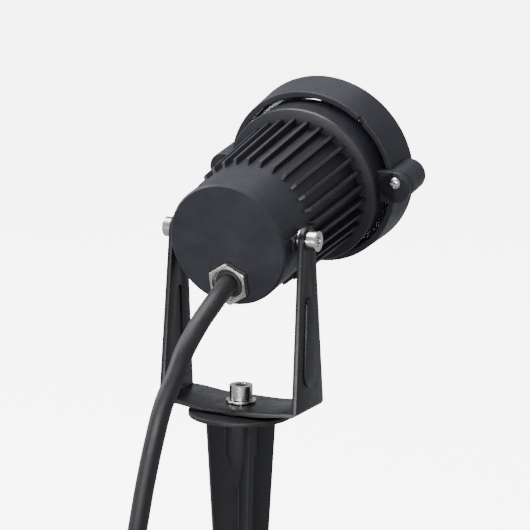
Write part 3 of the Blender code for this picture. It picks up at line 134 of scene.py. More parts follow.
# The hanging cord's route, then the bend that lands it on the coil, and the way to the plug.
CORD_ROUTE = (
    (0.0001, 0.0183, 0.0560),
    (0.0005, 0.0255, 0.0520),
    (0.0016, 0.0338, 0.0461),
    (0.0036, 0.0428, 0.0364),
    (0.0047, 0.0475, 0.0279),
    (0.0077, 0.0530, 0.0159),
    (0.0103, 0.0565, 0.0006),
    (0.0132, 0.0590, -0.0175),
    (0.0159, 0.0609, -0.0366),
    (0.0194, 0.0625, -0.0580),
    (0.0217, 0.0632, -0.0800),
    (0.0235, 0.0633, -0.1000),
)
LANDING_START = Vector((0.0240, 0.0630, -0.1129))
LANDING_BEND = 0.0483
LANDING_HEADING = math.radians(205)
COIL_OUTER = 0.0470
COIL_INNER = 0.0387
COIL_LAYER = 0.0083
COIL_LIFT = 0.0014
COIL_BULGE = 0.0042
COIL_TURN = math.radians(1361.8)
TAIL_CENTRE = Vector((-0.0122, 0.0097, 0.0))
TAIL_BEND = 0.0510
TAIL_TO = math.radians(190)
TAIL_STRAIGHT = 0.0400
TAIL_SIT = 0.0143
PLUG_HEADING = math.radians(-80)
PLUG_RISE = math.radians(18.4)
TIE_ANGLE = math.radians(300)

BODY_OF = {
    node: body for body, nodes in frame["record"]["behaviour"]["bodies"].items() for node in nodes
}


# ---------------------------------------------------------------- camera, light and floor
def make_camera():
    place = Vector((-0.4395, 0.8411, 0.2601))
    aim = Vector((0.4445, -0.8728, -0.2017))
    data = bpy.data.cameras.new("camera")
    data.lens = 156.7
    data.sensor_width = 36.0
    data.clip_end = 60
    camera = bpy.data.objects.new("camera", data)
    bpy.context.scene.collection.objects.link(camera)
    camera.rotation_mode = "QUATERNION"
    camera.location = place
    roll = Matrix.Rotation(math.radians(0.25), 4, "Z").to_quaternion()
    camera.rotation_quaternion = aim.to_track_quat("-Z", "Y") @ roll
    bpy.context.scene.camera = camera


def soft_light(name, place, target, size, power, tint=(1.0, 1.0, 1.0)):
    data = bpy.data.lights.new(name, "AREA")
    data.shape = "RECTANGLE"
    data.size, data.size_y = size
    data.energy = power
    data.color = tint
    light = bpy.data.objects.new(name, data)
    bpy.context.scene.collection.objects.link(light)
    light.location = place
    light.rotation_euler = (Vector(target) - Vector(place)).to_track_quat("-Z", "Y").to_euler()


def make_studio():
    world = bpy.data.worlds.new("studio")
    world.use_nodes = True
    world.node_tree.nodes["Background"].inputs["Color"].default_value = (0.93, 0.95, 1.0, 1)
    world.node_tree.nodes["Background"].inputs["Strength"].default_value = 0.5
    bpy.context.scene.world = world
    middle = (0, 0, 0.05)
    soft_light("left_box", (1.0, 0.30, 0.60), middle, (0.7, 1.0), 14)
    soft_light("camera_box", (-0.10, 1.30, 0.02), middle, (1.3, 0.35), 21)
    soft_light("top_box", (0.15, 0.05, 1.1), middle, (1.0, 0.9), 26)
    bpy.ops.mesh.primitive_plane_add(size=30, location=(0, 0, GROUND_LEVEL))
    floor = bpy.context.object
    floor.name = "studio_floor"
    paint = bpy.data.materials.new("studio_paint")
    paint.use_nodes = True
    shader = paint.node_tree.nodes["Principled BSDF"]
    shader.inputs["Base Color"].default_value = (0.90, 0.90, 0.90, 1)
    shader.inputs["Roughness"].default_value = 0.9
    shader.inputs["Emission Color"].default_value = (0.97, 0.97, 1.0, 1)
    shader.inputs["Emission Strength"].default_value = 6.0
    floor.data.materials.append(paint)
    # The floor is a backdrop only: it neither lights the lamp nor mirrors in it.
    floor.visible_diffuse = False
    floor.visible_glossy = False


# ---------------------------------------------------------------- finishes
class Finish:
    """A Principled material with node helpers. Patterns read Object coordinates."""

    def __init__(self, name, metallic=0.0, coat=0.0, sheen=0.0, specular=0.5):
        self.material = bpy.data.materials.new(name)
        self.material.use_nodes = True
        self.nodes = self.material.node_tree.nodes
        self.links = self.material.node_tree.links
        self.shader = self.nodes["Principled BSDF"]
        self.shader.inputs["Metallic"].default_value = metallic
        self.shader.inputs["Coat Weight"].default_value = coat
        self.shader.inputs["Coat Roughness"].default_value = 0.1
        self.shader.inputs["Specular IOR Level"].default_value = specular
        self.shader.inputs["Sheen Weight"].default_value = sheen
        self.coordinates = self.nodes.new("ShaderNodeTexCoord").outputs["Object"]

    def stretched(self, scale):
        mapping = self.nodes.new("ShaderNodeMapping")
        mapping.inputs["Scale"].default_value = scale
        self.links.new(self.coordinates, mapping.inputs["Vector"])
        return mapping.outputs["Vector"]

    def noise(self, scale, detail=3.0, roughness=0.55, vector=None):
        """Cloudy noise; the scale is in features to the metre."""
        texture = self.nodes.new("ShaderNodeTexNoise")
        texture.inputs["Scale"].default_value = scale
        texture.inputs["Detail"].default_value = detail
        texture.inputs["Roughness"].default_value = roughness
        self.links.new(vector or self.coordinates, texture.inputs["Vector"])
        return texture.outputs["Fac"]

    def cells(self, scale):
        texture = self.nodes.new("ShaderNodeTexVoronoi")
        texture.inputs["Scale"].default_value = scale
        self.links.new(self.coordinates, texture.inputs["Vector"])
        return texture.outputs["Distance"]

    def spread(self, value, low, high, out_low, out_high):
        """Stretch a value's middle range to a new range."""
        remap = self.nodes.new("ShaderNodeMapRange")
        remap.inputs["From Min"].default_value = low
        remap.inputs["From Max"].default_value = high
        remap.inputs["To Min"].default_value = out_low
        remap.inputs["To Max"].default_value = out_high
        self.links.new(value, remap.inputs["Value"])
        return remap.outputs["Result"]

    def color(self, value, stops):
        ramp = self.nodes.new("ShaderNodeValToRGB")
        elements = ramp.color_ramp.elements
        while len(elements) < len(stops):
            elements.new(0.5)
        for element, (position, shade) in zip(elements, stops):
            element.position = position
            element.color = (*shade, 1)
        self.links.new(value, ramp.inputs["Fac"])
        self.links.new(ramp.outputs["Color"], self.shader.inputs["Base Color"])

    def roughness(self, value):
        self.links.new(value, self.shader.inputs["Roughness"])

    def bump(self, value, strength, depth):
        """A relief; each further one is laid over the last."""
        bump = self.nodes.new("ShaderNodeBump")
        bump.inputs["Strength"].default_value = strength
        bump.inputs["Distance"].default_value = depth
        self.links.new(value, bump.inputs["Height"])
        normal = self.shader.inputs["Normal"]
        if normal.is_linked:
            self.links.new(normal.links[0].from_socket, bump.inputs["Normal"])
        self.links.new(bump.outputs["Normal"], normal)


def powder_coat():
    """Dark grey satin powder coat over cast metal: orange peel, fine grain, faint dust."""
    finish = Finish("powder_coat", specular=0.34)
    cloud = finish.noise(45, 4)
    finish.color(cloud, (
        (0.30, (0.010, 0.010, 0.014)), (0.55, (0.014, 0.014, 0.019)), (0.75, (0.020, 0.020, 0.026)),
    ))
    finish.roughness(finish.spread(finish.noise(160, 3), 0.3, 0.7, 0.36, 0.50))
    finish.bump(finish.noise(900, 2), 0.25, 0.00006)
    finish.bump(finish.noise(3200, 2), 0.20, 0.00003)
    return finish.material


def gloss_coat():
    """Smooth glossy black paint on pressed steel."""
    finish = Finish("gloss_coat", coat=0.08, specular=0.26)
    finish.color(finish.noise(60, 4), (
        (0.30, (0.006, 0.006, 0.008)), (0.60, (0.009, 0.009, 0.011)), (0.80, (0.013, 0.013, 0.016)),
    ))
    finish.roughness(finish.spread(finish.noise(220, 4), 0.3, 0.7, 0.26, 0.40))
    finish.bump(finish.noise(700, 2), 0.18, 0.00004)
    finish.bump(finish.noise(4200, 2), 0.10, 0.00002)
    return finish.material


def moulded_plastic():
    """Stake plastic: spark-eroded grain with flow marks down the blades."""
    finish = Finish("moulded_plastic", specular=0.34)
    flow = finish.noise(30, 5, 0.6, finish.stretched((1.0, 1.0, 0.22)))
    finish.color(flow, (
        (0.30, (0.010, 0.010, 0.012)), (0.55, (0.014, 0.014, 0.016)), (0.78, (0.021, 0.021, 0.024)),
    ))
    finish.roughness(finish.spread(finish.noise(300, 4), 0.3, 0.7, 0.38, 0.58))
    finish.bump(finish.noise(1700, 4, 0.7), 0.40, 0.00010)
    finish.bump(flow, 0.20, 0.00040)
    return finish.material


def plated_steel():
    """Bright zinc-plated screw with fine turning lines and handling marks."""
    finish = Finish("plated_steel", metallic=1.0)
    finish.color(finish.noise(240, 4), (
        (0.25, (0.60, 0.59, 0.57)), (0.55, (0.74, 0.73, 0.71)), (0.80, (0.85, 0.84, 0.82)),
    ))
    finish.roughness(finish.spread(finish.noise(900, 4), 0.3, 0.7, 0.12, 0.27))
    finish.bump(finish.noise(2600, 3), 0.12, 0.00004)
    return finish.material


def nickel_plate():
    """Warm bright nickel on a brass gland, with small dents."""
    finish = Finish("nickel_plate", metallic=1.0)
    finish.color(finish.noise(200, 4), (
        (0.25, (0.62, 0.59, 0.53)), (0.55, (0.76, 0.73, 0.67)), (0.80, (0.86, 0.83, 0.78)),
    ))
    finish.roughness(finish.spread(finish.noise(700, 4), 0.3, 0.7, 0.14, 0.32))
    finish.bump(finish.noise(1500, 3), 0.20, 0.00005)
    return finish.material


def cord_sheath():
    """Black rubber sheath with drawn lines, scuffs and a dusting of talc."""
    finish = Finish("cord_sheath", sheen=0.10, specular=0.34)
    scuff = finish.noise(110, 5, 0.65)
    finish.color(scuff, (
        (0.30, (0.006, 0.006, 0.008)), (0.58, (0.009, 0.009, 0.011)), (0.80, (0.016, 0.016, 0.019)),
    ))
    finish.roughness(finish.spread(scuff, 0.3, 0.7, 0.38, 0.54))
    finish.bump(finish.noise(2400, 3), 0.16, 0.00004)
    finish.bump(finish.noise(260, 2), 0.12, 0.00010)
    return finish.material


def soft_rubber():
    finish = Finish("soft_rubber", sheen=0.2)
    finish.color(finish.noise(150, 4), (
        (0.30, (0.008, 0.008, 0.009)), (0.60, (0.013, 0.013, 0.014)), (0.80, (0.022, 0.022, 0.023)),
    ))
    finish.roughness(finish.spread(finish.noise(500, 3), 0.3, 0.7, 0.62, 0.80))
    finish.bump(finish.noise(3000, 3), 0.25, 0.00005)
    return finish.material


def moulded_plug_rubber():
    finish = Finish("moulded_plug_rubber")
    finish.color(finish.noise(90, 4), (
        (0.30, (0.013, 0.013, 0.014)), (0.60, (0.019, 0.019, 0.021)), (0.80, (0.029, 0.029, 0.031)),
    ))
    finish.roughness(finish.spread(finish.noise(400, 3), 0.3, 0.7, 0.48, 0.64))
    finish.bump(finish.cells(1500), 0.25, 0.00006)
    return finish.material


def toughened_glass():
    """Clear cover glass with a faint green body and a few smears."""
    finish = Finish("toughened_glass")
    finish.shader.inputs["Transmission Weight"].default_value = 1.0
    finish.shader.inputs["IOR"].default_value = 1.47
    finish.color(finish.noise(14, 2), (
        (0.35, (0.93, 0.97, 0.96)), (0.70, (0.97, 0.99, 0.985)),
    ))
    finish.roughness(finish.spread(finish.noise(60, 5), 0.45, 0.75, 0.01, 0.07))
    finish.bump(finish.noise(35, 2), 0.05, 0.0002)
    return finish.material


def plated_bowl():
    """Mirror-plated reflector with a soft orange-peel facet."""
    finish = Finish("plated_bowl", metallic=1.0)
    finish.color(finish.noise(80, 3), (
        (0.30, (0.86, 0.86, 0.87)), (0.70, (0.94, 0.94, 0.95)),
    ))
    finish.roughness(finish.spread(finish.noise(300, 3), 0.3, 0.7, 0.05, 0.12))
    finish.bump(finish.cells(420), 0.45, 0.00025)
    return finish.material


def machined_aluminium():
    finish = Finish("machined_aluminium", metallic=1.0)
    finish.color(finish.noise(120, 4), (
        (0.30, (0.58, 0.58, 0.59)), (0.70, (0.74, 0.74, 0.75)),
    ))
    finish.roughness(finish.spread(finish.noise(600, 3), 0.3, 0.7, 0.30, 0.45))
    finish.bump(finish.noise(900, 3, 0.6, finish.stretched((1.0, 8.0, 1.0))), 0.2, 0.00005)
    return finish.material


def tinted(name, shade, low, high, grain=1200, metallic=0.0):
    """A small inner part: its colour clouded, with grain and uneven gloss."""
    finish = Finish(name, metallic=metallic)
    darker = tuple(channel * 0.78 for channel in shade)
    lighter = tuple(min(1.0, channel * 1.15) for channel in shade)
    finish.color(finish.noise(180, 4), ((0.30, darker), (0.55, shade), (0.80, lighter)))
    finish.roughness(finish.spread(finish.noise(500, 3), 0.3, 0.7, low, high))
    finish.bump(finish.noise(grain, 3), 0.2, 0.00005)
    return finish.material


def glowing_phosphor():
    finish = Finish("phosphor_face")
    finish.color(finish.cells(900), (
        (0.20, (0.95, 0.72, 0.10)), (0.60, (0.90, 0.62, 0.06)),
    ))
    finish.roughness(finish.spread(finish.noise(400, 3), 0.3, 0.7, 0.35, 0.5))
    finish.bump(finish.cells(900), 0.25, 0.0001)
    return finish.material


def make_finishes():
    return {
        "cast_body": powder_coat(),
        "steel_yoke": gloss_coat(),
        "stake_plastic": moulded_plastic(),
        "bright_steel": plated_steel(),
        "gland_nickel": nickel_plate(),
        "seal_rubber": soft_rubber(),
        "cord_rubber": cord_sheath(),
        "plug_rubber": moulded_plug_rubber(),
        "pin_metal": tinted("pin_nickel", (0.76, 0.74, 0.70), 0.15, 0.28, 2000, 1.0),
        "clear_glass": toughened_glass(),
        "mirror_bowl": plated_bowl(),
        "bare_aluminium": machined_aluminium(),
        "led_white": tinted("white_moulding", (0.80, 0.80, 0.77), 0.35, 0.50),
        "led_phosphor": glowing_phosphor(),
        "board_green": tinted("solder_mask", (0.02, 0.16, 0.06), 0.30, 0.45, 2400),
        "part_black": tinted("black_sleeve", (0.02, 0.02, 0.022), 0.35, 0.50),
        "part_yellow": tinted("yellow_wrap", (0.62, 0.45, 0.09), 0.35, 0.50),
        "wire_brown": tinted("brown_sleeve", (0.13, 0.05, 0.025), 0.35, 0.50),
        "wire_blue": tinted("blue_sleeve", (0.03, 0.11, 0.45), 0.35, 0.50),
        "wire_green": tinted("green_sleeve", (0.16, 0.42, 0.04), 0.35, 0.50),
        "wire_red": tinted("red_sleeve", (0.45, 0.02, 0.02), 0.35, 0.50),
    }


# ---------------------------------------------------------------- modelling moves
def work_on(piece):
    """Make this the only selected piece, and the active one."""
    bpy.ops.object.select_all(action="DESELECT")
    piece.select_set(True)
    bpy.context.view_layer.objects.active = piece


def open_for_edit(piece, kind="VERT"):
    work_on(piece)
    bpy.ops.object.mode_set(mode="EDIT")
    bpy.ops.mesh.select_mode(type=kind)
    bpy.ops.mesh.select_all(action="SELECT")


def close_edit():
    bpy.ops.object.mode_set(mode="OBJECT")


def settle(piece):
    """Put the piece's place into its mesh."""
    work_on(piece)
    bpy.ops.object.transform_apply(location=True, rotation=True, scale=True)


def turned(name, profile, segments=96, closed=False):
    """Draw a circle up through (radius, height) stations, as on a lathe."""
    bpy.ops.object.select_all(action="DESELECT")
    radius, height = profile[0]
    bpy.ops.mesh.primitive_circle_add(vertices=segments, radius=radius, location=(0, 0, height))
    piece = bpy.context.object
    piece.name = name
    open_for_edit(piece)
    if not closed:
        bpy.ops.mesh.edge_face_add()
    stations = list(profile[1:]) + ([profile[0]] if closed else [])
    for next_radius, next_height in stations:
        if closed or next_radius > 0:
            bpy.ops.mesh.extrude_region_move(
                TRANSFORM_OT_translate={"value": (0, 0, next_height - height)}
            )
            ratio = next_radius / radius
            bpy.ops.transform.resize(
                value=(ratio, ratio, 1), center_override=(0, 0, next_height)
            )
        radius, height = next_radius, next_height
    if closed:
        bpy.ops.mesh.select_all(action="SELECT")
        bpy.ops.mesh.remove_doubles(threshold=0.000002)
    bpy.ops.mesh.select_all(action="SELECT")
    bpy.ops.mesh.normals_make_consistent(inside=False)
    close_edit()
    settle(piece)
    return piece


def apply_modifiers(piece):
    work_on(piece)
    for modifier in list(piece.modifiers):
        bpy.ops.object.modifier_apply(modifier=modifier.name)


def ease_edges(piece, width, steps=2, angle=32):
    """Round every edge sharper than the angle, keeping the flats flat."""
    work_on(piece)
    bpy.ops.object.shade_smooth()
    bevel = piece.modifiers.new("Eased edges", "BEVEL")
    bevel.width = width
    bevel.segments = steps
    bevel.limit_method = "ANGLE"
    bevel.angle_limit = math.radians(angle)
    bevel.use_clamp_overlap = True
    bevel.harden_normals = True
    apply_modifiers(piece)
    return piece


def cut_with(piece, tool):
    """Cut the piece with a tool, and use the tool up."""
    boolean = piece.modifiers.new("Cut", "BOOLEAN")
    boolean.operation = "DIFFERENCE"
    boolean.solver = "EXACT"
    boolean.object = tool
    apply_modifiers(piece)
    bpy.data.objects.remove(tool, do_unlink=True)
    return piece


def join_into(piece, others):
    bpy.ops.object.select_all(action="DESELECT")
    for other in others:
        other.select_set(True)
    piece.select_set(True)
    bpy.context.view_layer.objects.active = piece
    bpy.ops.object.join()
    return piece


def stand(piece, matrix):
    """Move a piece built about the origin to its place."""
    piece.matrix_world = matrix @ piece.matrix_world
    settle(piece)
    return piece


def bar(name, radius, low, high, segments=64):
    return turned(name, ((radius, low), (radius, high)), segments)


def flat_ring(name, ring, segments):
    """A washer from its bore, outer radius, bottom and top."""
    bore, edge, bottom, top = ring
    profile = ((bore, bottom), (edge, bottom), (edge, top), (bore, top))
    return turned(name, profile, segments, closed=True)


def block(name, size, place):
    bpy.ops.object.select_all(action="DESELECT")
    bpy.ops.mesh.primitive_cube_add(size=1)
    piece = bpy.context.object
    piece.name = name
    piece.dimensions = size
    piece.location = place
    settle(piece)
    return piece


def six_sided(name, flats, low, high, turn=0.0):
    """A hexagon bar along Z with its first corner at the given angle."""
    bpy.ops.object.select_all(action="DESELECT")
    bpy.ops.mesh.primitive_cylinder_add(
        vertices=6, radius=flats / math.sqrt(3), depth=high - low,
        location=(0, 0, (low + high) / 2), rotation=(0, 0, turn - math.pi / 2),
    )
    piece = bpy.context.object
    piece.name = name
    settle(piece)
    return piece


def finish_piece(piece, node, finish, slot, more_nodes=()):
    """Give a piece its material, its body and the CAD nodes that it stands for."""
    piece.data.materials.clear()
    piece.data.materials.append(finish[slot])
    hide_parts(node, *more_nodes)
    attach(piece, BODY_OF[node])
    return piece


def refined_copy(node, name, width, steps=2, angle=32):
    """A copy of a CAD node with its triangles merged and its edges eased."""
    mesh = frame["nodes"][node].data.copy()
    piece = bpy.data.objects.new(name, mesh)
    bpy.context.scene.collection.objects.link(piece)
    open_for_edit(piece)
    bpy.ops.mesh.remove_doubles(threshold=0.000003)
    bpy.ops.mesh.dissolve_limited(angle_limit=math.radians(1.0))
    close_edit()
    ease_edges(piece, width, steps, angle)
    return piece


# ---------------------------------------------------------------- cord, coil and plug
def lamp_point(y, station):
    return LAMP @ Vector((0, y, station))


def smooth_points(route, spacing):
    """Points at about equal spacing on a smooth curve through the route."""
    points = [Vector(point) for point in route]
    before = points[0] * 2 - points[1]
    after = points[-1] * 2 - points[-2]
    padded = [before, *points, after]
    samples = []
    for index in range(1, len(padded) - 2):
        start, end = padded[index], padded[index + 1]
        leave = (end - padded[index - 1]) / 2
        arrive = (padded[index + 2] - start) / 2
        steps = max(1, round((end - start).length / spacing))
        for step in range(steps):
            t = step / steps
            samples.append(
                start * (2 * t**3 - 3 * t**2 + 1)
                + leave * (t**3 - 2 * t**2 + t)
                + end * (3 * t**2 - 2 * t**3)
                + arrive * (t**3 - t**2)
            )
    samples.append(points[-1])
    return samples


def eased(value, low, high):
    share = min(1.0, max(0.0, (value - low) / (high - low)))
    return (1 - math.cos(math.pi * share)) / 2


def landing_route():
    """The bend from the hanging cord onto the coil's top turn."""
    heading = Vector((math.cos(LANDING_HEADING), math.sin(LANDING_HEADING), 0))
    points = []
    for step in range(7):
        turn = math.pi / 2 * step / 7
        along = heading * LANDING_BEND * (1 - math.cos(turn))
        points.append(LANDING_START + along - Vector((0, 0, LANDING_BEND * math.sin(turn))))
    return points


def coil_route():
    """Top outer turn, top inner, down to the bottom inner turn, and out to the last."""
    heading = Vector((math.cos(LANDING_HEADING), math.sin(LANDING_HEADING), 0))
    landing = LANDING_START + heading * LANDING_BEND
    first = math.atan2(landing.y, landing.x)
    top = GROUND_LEVEL + COIL_LIFT + CORD_RADIUS + COIL_LAYER
    points = []
    steps = 120
    for step in range(steps + 1):
        turn = COIL_TURN * step / steps
        degrees = math.degrees(turn)
        inward = eased(degrees, 262, 357) - eased(degrees, 992, 1112)
        squeeze = eased(degrees, 598, 680) - eased(degrees, 681, 763)
        radius = COIL_OUTER - (COIL_OUTER - COIL_INNER) * inward - COIL_BULGE * squeeze
        angle = first + turn
        height = top - COIL_LAYER * eased(degrees, 625, 730)
        points.append(Vector((radius * math.cos(angle), radius * math.sin(angle), height)))
    return points


def tail_route():
    """From the coil's last turn, round on the ground and up into the plug."""
    floor_level = GROUND_LEVEL + CORD_RADIUS + 0.0001
    coil_level = GROUND_LEVEL + COIL_LIFT + CORD_RADIUS
    leave = PLUG_HEADING + math.radians(116.7)
    steps = 12
    points = []
    for step in range(steps + 1):
        angle = leave + (TAIL_TO - leave) * step / steps
        around = Vector((math.cos(angle), math.sin(angle), 0)) * TAIL_BEND
        level = floor_level + (coil_level - floor_level) * (1 - eased(step, 1, 6))
        points.append(TAIL_CENTRE + around + Vector((0, 0, level)))
    heading = Vector((math.cos(PLUG_HEADING), math.sin(PLUG_HEADING), 0))
    arc_end = points[-1]
    for before_plug in (2 * TAIL_SIT, TAIL_SIT, TAIL_SIT / 2, TAIL_SIT / 4, 0):
        along = TAIL_STRAIGHT - before_plug
        climb = max(0.0, TAIL_SIT - before_plug)
        rise = Vector((0, 0, climb**2 * math.tan(PLUG_RISE) / (2 * TAIL_SIT)))
        points.append(arc_end + heading * along + rise)
    return points


def make_cord(finish):
    inner_end = lamp_point(-GLAND_DROP, CORD_INSIDE)
    rear_face = lamp_point(-GLAND_DROP, 0)
    nut_face = lamp_point(-GLAND_DROP, GLAND_NUT_REAR)
    route = (
        inner_end, rear_face, nut_face, *CORD_ROUTE, *landing_route(), *coil_route(), *tail_route()
    )
    path = smooth_points(route, 0.0022)
    curve = bpy.data.curves.new("mains_cord", "CURVE")
    curve.dimensions = "3D"
    curve.bevel_depth = CORD_RADIUS
    curve.bevel_resolution = 6
    curve.use_fill_caps = True
    spline = curve.splines.new("POLY")
    spline.points.add(len(path) - 1)
    for point, place in zip(spline.points, path):
        point.co = (*place, 1)
    cord = bpy.data.objects.new("mains_cord", curve)
    bpy.context.scene.collection.objects.link(cord)
    work_on(cord)
    bpy.ops.object.convert(target="MESH")
    cord = bpy.context.object
    bpy.ops.object.shade_smooth()
    cord.data.materials.clear()
    cord.data.materials.append(finish["cord_rubber"])
    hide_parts("power_cord", "cord_coil", "cord_tail")
    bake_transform(cord)
    return cord, nut_face, [tuple(point) for point in path[::2]]


def make_coil_tie(finish):
    """A soft strap wrapped round the turns, with its corners rounded."""
    low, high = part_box("coil_tie")
    middle_radius = (COIL_INNER + COIL_OUTER) / 2
    width = 2 * CORD_RADIUS + (COIL_OUTER - COIL_INNER) + 0.0004
    height = 2 * CORD_RADIUS + COIL_LAYER + 0.0004
    bpy.ops.object.select_all(action="DESELECT")
    bpy.ops.mesh.primitive_cube_add(size=1, location=(middle_radius, 0, (low[2] + high[2]) / 2))
    strap = bpy.context.object
    strap.name = "coil_tie_strap"
    strap.dimensions = (width, 0.0078, height)
    settle(strap)
    open_for_edit(strap, "EDGE")
    bpy.ops.mesh.select_all(action="DESELECT")
    close_edit()
    for edge in strap.data.edges:
        start, end = (strap.data.vertices[index].co for index in edge.vertices)
        edge.select = abs(start.y - end.y) > 0.001
    work_on(strap)
    bpy.ops.object.mode_set(mode="EDIT")
    bpy.ops.mesh.bevel(offset=0.0034, segments=6)
    bpy.ops.mesh.select_all(action="DESELECT")
    close_edit()
    for face in strap.data.polygons:
        face.select = abs(face.normal.y) > 0.9
    bpy.ops.object.mode_set(mode="EDIT")
    bpy.ops.mesh.select_mode(type="FACE")
    bpy.ops.mesh.delete(type="FACE")
    close_edit()
    wall = strap.modifiers.new("Strap", "SOLIDIFY")
    wall.thickness = 0.0008
    wall.offset = 1.0
    apply_modifiers(strap)
    ease_edges(strap, 0.0002, 2, 40)
    stand(strap, Matrix.Rotation(TIE_ANGLE, 4, "Z"))
    return finish_piece(strap, "coil_tie", finish, "seal_rubber")


def make_plug(finish):
    body = refined_copy("plug_body", "plug_moulding", 0.0006, 3)
    finish_piece(body, "plug_body", finish, "plug_rubber")
    pieces = [body]
    for index in (1, 2):
        pin = refined_copy(f"plug_pin_{index}", f"plug_contact_{index}", 0.0002)
        pieces.append(finish_piece(pin, f"plug_pin_{index}", finish, "pin_metal"))
        clip = refined_copy(f"plug_clip_{index}", f"plug_earth_strip_{index}", 0.0003)
        pieces.append(finish_piece(clip, f"plug_clip_{index}", finish, "pin_metal"))
    return pieces


# ---------------------------------------------------------------- lamp head
def make_fin():
    """One cooling fin over the lamp's +X side, with its long edges eased."""
    bpy.ops.object.select_all(action="DESELECT")
    length = FIN_END - FIN_START
    bpy.ops.mesh.primitive_cube_add(size=1, location=(0, 0, FIN_START + length / 2))
    fin = bpy.context.object
    fin.name = "fin"
    fin.dimensions = (1, FIN_THICKNESS, length)
    settle(fin)
    for corner in fin.data.vertices:
        front = corner.co.z > FIN_START + length / 2
        if corner.co.x > 0:
            corner.co.x = FIN_FRONT_TOP if front else FIN_REAR_TOP
            corner.co.z += 0 if front else FIN_RAMP
        else:
            corner.co.x = BARREL_RADIUS - FIN_ROOT
            if front:
                corner.co.x = BARREL_FRONT_RADIUS - FIN_ROOT
                corner.co.z += 0.0004
        if front and corner.co.x > BARREL_FRONT_RADIUS:
            corner.co.z += 0.0004
    ease_edges(fin, 0.00028, 2)
    return fin


def make_housing(finish):
    rim = 0.0008
    housing = turned("lamp_housing", (
        (BARREL_RADIUS - rim, 0),
        (BARREL_RADIUS, rim),
        (BARREL_RADIUS, FIN_START),
        (BARREL_FRONT_RADIUS, FIN_END),
        (FIN_FRONT_TOP + 0.0003, FIN_END),
        (FLANGE_RADIUS, FLANGE_EDGE),
        (FLANGE_RADIUS + 0.0004, FLANGE_EDGE + 0.0009),
        (SPIGOT_RADIUS, FLANGE_EDGE + 0.0040),
        (SPIGOT_RADIUS, SPIGOT_END),
        (MOUTH_RADIUS, SPIGOT_END),
        (MOUTH_RADIUS, 0.0775),
        (SEAT_RADIUS, 0.0710),
        (SEAT_RADIUS, SEAT_DEPTH),
        (CAVITY_RADIUS, SEAT_DEPTH),
        (CAVITY_RADIUS, REAR_WALL),
    ), 180)
    gland_hole = bar("gland_hole", GLAND_THREAD + 0.0003, -0.001, REAR_WALL + 0.001, 96)
    cut_with(housing, stand(gland_hole, Matrix.Translation((0, -GLAND_DROP, 0))))
    ease_edges(housing, 0.0003, 2, 20)
    fin = make_fin()
    fins = []
    for index in range(FIN_COUNT):
        copy = fin.copy()
        copy.data = fin.data.copy()
        bpy.context.scene.collection.objects.link(copy)
        stand(copy, Matrix.Rotation(math.pi / 2 + 2 * math.pi * index / FIN_COUNT, 4, "Z"))
        fins.append(copy)
    bpy.data.objects.remove(fin, do_unlink=True)
    bosses = []
    for side in (-1, 1):
        pad = block("pad", PIVOT_PAD, (side * PIVOT_PAD_PLACE, 0, PIVOT_FROM_REAR))
        bosses.append(ease_edges(pad, 0.0005, 3))
    for angle in LUG_ANGLES:
        x, y = LUG_CIRCLE * math.cos(angle), LUG_CIRCLE * math.sin(angle)
        ear = bar("ear", LUG_RADIUS, EAR_REAR, EAR_FRONT, 48)
        ease_edges(ear, 0.0005, 3)
        bosses.append(stand(ear, Matrix.Translation((x, y, 0))))
        web = block(
            "web", (WEB_LENGTH, 2 * LUG_RADIUS, EAR_FRONT - EAR_REAR),
            (WEB_MIDDLE, 0, (EAR_FRONT + EAR_REAR) / 2),
        )
        ease_edges(web, 0.0004, 2)
        bosses.append(stand(web, Matrix.Rotation(angle, 4, "Z")))
    join_into(housing, fins + bosses)
    stand(housing, LAMP)
    return finish_piece(housing, "rear_housing", finish, "cast_body")


def make_hood(finish):
    recess = HOOD_FRONT_RADIUS - HOOD_WALL
    hood = turned("hood_ring", (
        (HOOD_BORE, HOOD_REAR),
        (HOOD_REAR_RADIUS, HOOD_REAR),
        (HOOD_FRONT_RADIUS, HOOD_FRONT),
        (recess, HOOD_FRONT),
        (recess, LEDGE_FRONT),
        (LEDGE_RADIUS, LEDGE_FRONT),
        (LEDGE_RADIUS, LEDGE_REAR),
        (HOOD_BORE, LEDGE_REAR),
    ), 180, closed=True)
    notch = block("notch", NOTCH_SIZE, (HOOD_REAR_RADIUS, 0, HOOD_REAR))
    cut_with(hood, stand(notch, Matrix.Rotation(NOTCH_ANGLE, 4, "Z")))
    ease_edges(hood, 0.0005, 3, 35)
    lugs = []
    for angle in LUG_ANGLES:
        x, y = LUG_CIRCLE * math.cos(angle), LUG_CIRCLE * math.sin(angle)
        lug = turned("lug", (
            (LUG_RADIUS, HOOD_REAR),
            (LUG_RADIUS, LUG_END - 0.0034),
            (LUG_RADIUS * 0.97, LUG_END - 0.0023),
            (LUG_RADIUS * 0.89, LUG_END - 0.0013),
            (LUG_RADIUS * 0.76, LUG_END - 0.0006),
            (LUG_RADIUS * 0.55, LUG_END - 0.0001),
            (LUG_RADIUS * 0.40, LUG_END),
        ), 64)
        ease_edges(lug, 0.0003, 2)
        lug = stand(lug, Matrix.Translation((x, y, 0)))
        bore = bar("bore", HOOD_BORE, HOOD_REAR - 0.001, LEDGE_REAR, 180)
        cut_with(lug, bore)
        recess_tool = bar("recess", recess, LEDGE_FRONT, HOOD_FRONT + 0.001, 180)
        cut_with(lug, recess_tool)
        lugs.append(lug)
    join_into(hood, lugs)
    stand(hood, LAMP)
    return finish_piece(hood, "front_hood", finish, "cast_body")


